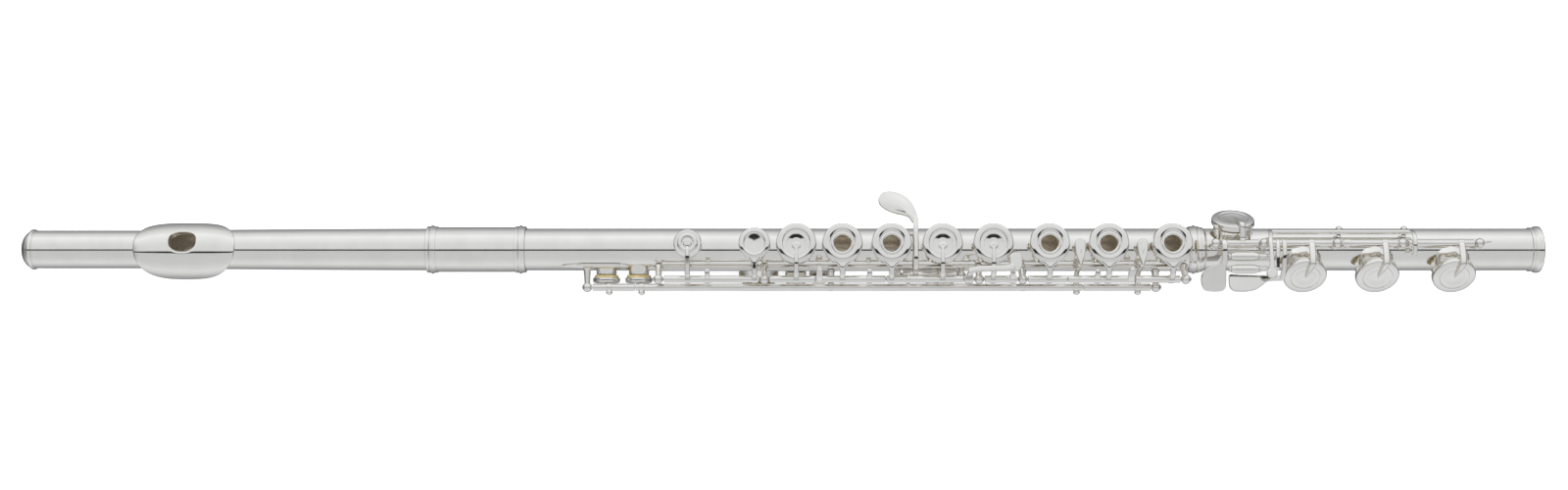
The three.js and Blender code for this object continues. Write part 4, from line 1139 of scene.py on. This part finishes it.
# ---------- Foot joint ----------
def build_foot_tube():
    start, end = span("foot_tube")
    socket_end = start + 7.4
    outside = [(SLEEVE_IN_R, start), (SLEEVE_OUT_R - 0.1, start, 0.1)]
    outside += joint_ring(start + 3, SLEEVE_OUT_R)
    outside += [
        (SLEEVE_OUT_R, socket_end - 0.6), (TUBE_R + 0.25, socket_end, 0.2), (TUBE_R, socket_end + 0.5),
        (TUBE_R, end - 5.5, 0.3), (TUBE_R + 0.55, end - 5.2, 0.2), (TUBE_R + 0.6, end - 4.2, 0.3),
        (TUBE_R + 0.25, end - 3.6, 0.2), (11.0, end - 2.4, 0.4), (11.15, end - 1.6, 0.3),
        (11.1, end - 0.5, 0.4), (10.7, end, 0.2)]
    inside = [(TUBE_R - WALL, end), (TUBE_R - WALL, socket_end - 0.6),
              (SLEEVE_IN_R, socket_end - 0.6)]
    pierced_tube("foot_tube_visual", outside + inside, FOOT_HOLES, "foot_tube", "foot_joint")


def build_foot_rib():
    parts = [strap(221.6, 331, 1.5, 14, tail1=8), strap(198.6, 226, -20, -12.5)]
    parts += [post(x, FOOT_ROD, -2, 2.3, 1.2, 1.1) for x in FOOT_POSTS]
    behind = B_LEVER_ROD + Vector((0, 1.5, -0.1))  # these posts stand at the far side of the rod
    parts += [post(x, behind, 20, 1.6, 0.9, 0.4) for x in B_LEVER_POSTS]
    piece("foot_rib_visual", "foot_joint", parts, replaces=["foot_rib"])


def foot_arm(arm_x, x, angle):
    """Arm from the foot rod over the back of a cup, drawn to a fine point at its centre."""
    side = math.copysign(1, angle)
    top = FOOT["rim"] + PAD_FLOOR + CUP_H
    edge = polar(x, math.hypot(top + 0.5, FOOT["cup"] * 0.98), angle - side * 31)
    shoulder = polar(x, math.hypot(top + 1.1, FOOT["cup"] * 0.72), angle - side * 23.5)
    inner = polar(x, math.hypot(top + 0.5, FOOT["cup"] * 0.36), angle - side * 12)
    centre = polar(x, top - 0.2, angle)
    return sweep([
        (Vector((arm_x, FOOT_ROD.y + side * 0.4, FOOT_ROD.z + 1.2)), 2.9, 1.6),
        (Vector((arm_x, FOOT_ROD.y + side * 2.8, FOOT_ROD.z + 1.5)), 2.9, 1.7),
        (Vector((arm_x * 0.9 + x * 0.1, edge.y, edge.z)), 2.9, 1.8),
        (Vector((arm_x * 0.72 + x * 0.28, shoulder.y, shoulder.z)), 2.7, 1.7),
        (Vector((arm_x * 0.34 + x * 0.66, inner.y, inner.z)), 1.5, 1.2), (centre, 0.5, 0.6),
    ], squareness=2.2)


def foot_key(name, body, x, angle, lift, parts):
    turn = lifted(FOOT_ROD, lift)
    piece(name + "_visual", body, [*parts, plateau(FOOT, x, angle)], replaces=[name], turn=turn)
    pad_name = name.replace("_key", "_pad")
    piece(pad_name + "_visual", body, [pad_part(FOOT, x, angle)], "pad", [pad_name], turn)


def roller_pin(line, end):
    start = ROLLER[0]
    return merge(
        rod(start - 0.8, end, STEEL_R, line), rod(start - 1.1, start - 0.3, 1.3, line),
        rod(ROLLER[1] + 0.3, ROLLER[1] + 1.1, 1.4, line), rod(ROLLER[1] + 1.1, end, 1.05, line))


def roller(line):
    x0, x1 = ROLLER
    profile = [
        (HINGE_IN_R, x0), (1.5, x0, 0.2), (ROLLER_R - 0.1, x0 + 1.8, 0.9), (ROLLER_R, x0 + 3.4, 0.8),
        (ROLLER_R, x1 - 3.4, 0.8), (ROLLER_R - 0.1, x1 - 1.8, 0.9), (1.5, x1, 0.2), (HINGE_IN_R, x1)]
    return along_x(lathe(profile, 32, closed=True), (line.y, line.z))


def build_foot_keys():
    y, z = FOOT_ROD.y, FOOT_ROD.z
    paddle = closed_curve([
        (4.7, 7.2), (2.4, 7.2), (1.6, 6.0), (-0.8, 4.8), (-4.6, 3.2), (-6.5, 0.8), (-6.6, -3.4),
        (-5.0, -6.6), (-0.6, -7.3), (3.4, -6.8), (4.8, -4.4), (4.8, 1.6)])
    arm = sweep([
        (Vector((205, y + 1.0, z + 1.2)), 2.4, 1.5), (Vector((205, -2.0, z + 2.0)), 2.4, 1.5),
        (Vector((205, -5.6, 16.1)), 2.5, 1.5), (Vector((205, -10.2, 13.9)), 2.9, 1.5)])
    foot_key("d_sharp_foot_key", "d_sharp_foot_key", X["d_sharp_foot"], D_SHARP_ANGLE, 0, [
        hinge(204, 220.9, FOOT_ROD), foot_arm(213.6, X["d_sharp_foot"], D_SHARP_ANGLE), arm,
        plate(paddle, 1.6, Vector((201, -15.6, 11.8)), 20, 0.5), collar(205, FOOT_ROD, 2.4),
        collar(213.6, FOOT_ROD)])

    long_paddle = closed_curve([
        (-11.9, 3.4), (-10.8, 3.9), (0, 3.9), (8.4, 3.8), (13.6, 3.3), (13.6, 1.5), (8.6, 1.2),
        (5.6, 0.6), (3.2, -1.2), (0.2, -3.1), (-4.6, -3.9), (-9.6, -3.7), (-11.6, -2.0),
        (-12.0, 0.6)])
    strip = sweep([
        (Vector((233, y + 1, z + 1.1)), 2.0, 1.3), (Vector((232.8, -5, 15.8)), 2.0, 1.3),
        (Vector((232.6, -11.4, 12.6)), 2.0, 1.3), (Vector((232.2, -15.8, 7.8)), 2.4, 1.3)])
    foot_key("c_sharp_foot_key", "c_sharp_foot_key", X["c_sharp_foot"], FOOT_ANGLE, -LIFT, [
        hinge(232.4, 255.2, FOOT_ROD), foot_arm(245.6, X["c_sharp_foot"], FOOT_ANGLE), strip,
        plate(long_paddle, 1.5, Vector((219.4, -17.6, 7)), 16, 0.5), collar(245.6, FOOT_ROD)])

    c_strip = sweep([
        (Vector((229.9, y + 1, z + 1.1)), 1.8, 1.3), (Vector((229.5, -5, 16.4)), 1.8, 1.3),
        (Vector((229.5, C_ROLLER.y - 0.6, C_ROLLER.z)), 1.8, 1.3)])
    foot_key("c_foot_key", "c_foot_key", X["c_foot"], FOOT_ANGLE, -LIFT, [
        rod(221.8, 290.2, STEEL_R, FOOT_ROD), rod(226.6, 231.8, HINGE_R, FOOT_ROD),
        rod(260.4, 285.4, HINGE_R, FOOT_ROD), foot_arm(279.8, X["c_foot"], FOOT_ANGLE), c_strip,
        roller_pin(C_ROLLER, 229.5), collar(279.8, FOOT_ROD), collar(262.4, FOOT_ROD, 3.2)])

    b_strip = sweep([
        (Vector((293.3, y + 1, z + 0.8)), 2.2, 1.3), (Vector((293.3, -6.6, 13.6)), 2.2, 1.3)])
    foot_key("b_foot_key", "b_foot_key", X["b_foot"], FOOT_ANGLE, -LIFT, [
        hinge(291, 321.4, FOOT_ROD), foot_arm(315.4, X["b_foot"], FOOT_ANGLE), b_strip,
        collar(315.4, FOOT_ROD)])


def build_b_lever():
    """Second foot rod: the B roller and, past it, the small round touch of the gizmo."""
    y, z = B_LEVER_ROD.y, B_LEVER_ROD.z
    x = joint_at("b_lever_press").x - 1.4
    long_strip = sweep([
        (Vector((x + 1.2, y + 0.6, z)), 2.0, 1.3), (Vector((x + 0.8, 4.2, 15.6)), 2.0, 1.2),
        (Vector((x, -0.5, 18.7)), 1.9, 1.2), (Vector((x, -7, 19.3)), 1.9, 1.2),
        (Vector((x, -12, 19.2)), 2.3, 1.2), (Vector((x - 0.1, -14.2, 18.9)), 3.6, 1.2)])
    link = sweep([
        (Vector((293.3, y + 0.6, z)), 2.0, 1.3), (Vector((293.3, 3.6, 16.4)), 2.0, 1.2),
        (Vector((293.3, -0.8, 18.1)), 2.0, 1.2), (Vector((293.3, -6.4, 16.2)), 2.0, 1.2)])
    drop = sweep([(Vector((x, -7, 18.9)), 1.8, 1.3), (Vector((x, -7, 15.2)), 1.8, 1.3)])
    circle = [Vector((2.5 * math.cos(a), 2.5 * math.sin(a)))
              for a in (2 * math.pi * k / 32 for k in range(32))]
    disc = plate(circle, 1.6, Vector((x - 0.1, -15.8, 18.8)), 0, 0.5)
    piece("b_lever_visual", "b_lever", [
        rod(226.5, 294.4, 1.1, B_LEVER_ROD), long_strip, link, drop, disc,
        roller_pin(B_ROLLER, x)], replaces=["b_lever"])
    piece("b_roller_visual", "b_roller", [roller(B_ROLLER)], replaces=["b_roller"])
    piece("c_roller_visual", "c_roller", [roller(C_ROLLER)], replaces=["c_roller"],
          turn=lifted(FOOT_ROD, -LIFT))


# ---------- Small parts that only the looks hold ----------
def spring(body, name, x0, x1, line, drop):
    """A needle spring from a post to the catch on its key."""
    start = Vector((x0, line.y + 0.2, line.z - drop))
    end = Vector((x1, line.y + 1.6, line.z - drop - 0.5))
    piece(name, body, [bar(start, end, 0.32, 0.16, sides=10)], "blued")


def build_springs():
    reach = 16
    for k, x in enumerate(STACK_POSTS[:-1]):
        spring("body_joint", f"stack_spring_{k}", x + 1.6, x + reach, STACK_ROD, 2.2)
    spring("body_joint", "trill_spring", TRILL_POSTS[0] + 1.6, TRILL_POSTS[0] + reach, TRILL_ROD, 2.4)


# ---------- Studio ----------
def build_camera():
    elevation = radians(CAMERA_ELEVATION)
    back = Vector((0, -math.cos(elevation), math.sin(elevation)))
    up = Vector((0, math.sin(elevation), math.cos(elevation)))
    data = bpy.data.cameras.new("camera")
    data.sensor_width = 36
    data.lens = CAMERA_LENS
    data.clip_end = 20
    camera = bpy.data.objects.new("camera", data)
    bpy.context.scene.collection.objects.link(camera)
    place = ORIGIN + up * CAMERA_RAISE + back * CAMERA_DISTANCE
    camera.matrix_world = Matrix.Translation(place * MM) @ Matrix.Rotation(
        math.pi / 2 - elevation, 4, "X")
    bpy.context.scene.camera = camera
    return back, up


def build_world(back, up):
    """A white studio seen in the silver: long soft panels, a narrow dark gap over the camera
    and darker surroundings low down."""
    world = bpy.data.worlds.new("studio")
    bpy.context.scene.world = world
    world.use_nodes = True
    nodes, links = world.node_tree.nodes, world.node_tree.links
    nodes.clear()
    coordinates = nodes.new("ShaderNodeTexCoord")

    def dot(vector):
        node = nodes.new("ShaderNodeVectorMath")
        node.operation = "DOT_PRODUCT"
        node.inputs[1].default_value = vector
        links.new(coordinates.outputs["Generated"], node.inputs[0])
        return node.outputs["Value"]

    def math_node(operation, *inputs):
        node = nodes.new("ShaderNodeMath")
        node.operation = operation
        for socket, value in zip(node.inputs, inputs):
            if isinstance(value, (int, float)):
                socket.default_value = value
            else:
                links.new(value, socket)
        return node.outputs["Value"]

    turn = math_node("ARCTAN2", dot(up), dot(back))
    share = math_node("MULTIPLY_ADD", turn, 0.5 / math.pi, 0.5)
    ramp = nodes.new("ShaderNodeValToRGB")
    links.new(share, ramp.inputs["Fac"])
    # Angle from the camera's direction, turning away from the player, and the brightness there.
    stops = [
        (-180, 0.20), (-150, 0.24), (-122, 0.44), (-102, 0.65), (-86, 0.74), (-50, 0.61),
        (-7.6, 0.59), (-6.2, 0.02), (0, 0.02), (1.4, 0.69), (30, 0.73), (72, 0.92), (104, 0.67),
        (122, 0.44), (150, 0.24), (180, 0.20),
    ]
    elements = ramp.color_ramp.elements
    while len(elements) < len(stops):
        elements.new(0.5)
    for element, (angle, _) in zip(elements, stops):
        element.position = (angle + 180) / 360
    for element, (_, level) in zip(elements, stops):
        element.color = (level, level * 1.03, level * 1.075, 1)

    sideways = math_node("ABSOLUTE", dot((1, 0, 0)))
    dim = nodes.new("ShaderNodeMapRange")
    dim.interpolation_type = "SMOOTHSTEP"
    dim.inputs["From Min"].default_value = 0.72
    dim.inputs["From Max"].default_value = 0.97
    dim.inputs["To Min"].default_value = 1
    dim.inputs["To Max"].default_value = 0.4
    links.new(sideways, dim.inputs["Value"])

    panels = nodes.new("ShaderNodeBackground")
    links.new(ramp.outputs["Color"], panels.inputs["Color"])
    links.new(dim.outputs["Result"], panels.inputs["Strength"])
    plain = nodes.new("ShaderNodeBackground")
    plain.inputs["Color"].default_value = (1, 1, 1, 1)
    path = nodes.new("ShaderNodeLightPath")
    mix = nodes.new("ShaderNodeMixShader")
    output = nodes.new("ShaderNodeOutputWorld")
    links.new(path.outputs["Is Camera Ray"], mix.inputs["Fac"])
    links.new(panels.outputs["Background"], mix.inputs[1])
    links.new(plain.outputs["Background"], mix.inputs[2])
    links.new(mix.outputs["Shader"], output.inputs["Surface"])


def build_floor():
    """A pale floor just under the flute. It is bright to the camera, clear from below, and left
    out of the silver's reflections, which the studio's own lower half takes care of."""
    bpy.ops.mesh.primitive_plane_add(size=12, location=(0, 0, -0.0002))
    floor = bpy.context.object
    floor.name = "floor"
    material, nodes, links, shader = new_material("floor_paper", (0.93, 0.93, 0.93), 0, 0.9)
    shader.inputs["Emission Color"].default_value = (1, 1, 1, 1)
    shader.inputs["Emission Strength"].default_value = 0.55
    geometry = nodes.new("ShaderNodeNewGeometry")
    clear = nodes.new("ShaderNodeBsdfTransparent")
    mix = nodes.new("ShaderNodeMixShader")
    links.new(geometry.outputs["Backfacing"], mix.inputs["Fac"])
    links.new(shader.outputs["BSDF"], mix.inputs[1])
    links.new(clear.outputs["BSDF"], mix.inputs[2])
    links.new(mix.outputs["Shader"], nodes["Material Output"].inputs["Surface"])
    floor.data.materials.append(material)
    floor.visible_glossy = False


def build_light():
    data = bpy.data.lights.new("overhead", "AREA")
    data.shape = "RECTANGLE"
    data.size = 3
    data.size_y = 3
    data.energy = 60
    lamp = bpy.data.objects.new("overhead", data)
    lamp.location = (0, 0.3, 2.4)
    lamp.visible_glossy = False
    bpy.context.scene.collection.objects.link(lamp)


bpy.context.scene.view_settings.view_transform = "Standard"
make_materials()
build_head_tube()
build_lip_plate()
build_riser()
build_crown()
build_stopper()
build_barrel()
build_body_tube()
build_ribs()
build_steels()
build_stack()
build_trills()
build_g_sharp()
build_thumb_keys()
build_side_lever()
build_foot_tube()
build_foot_rib()
build_foot_keys()
build_b_lever()
build_springs()
build_world(*build_camera())
build_floor()
build_light()
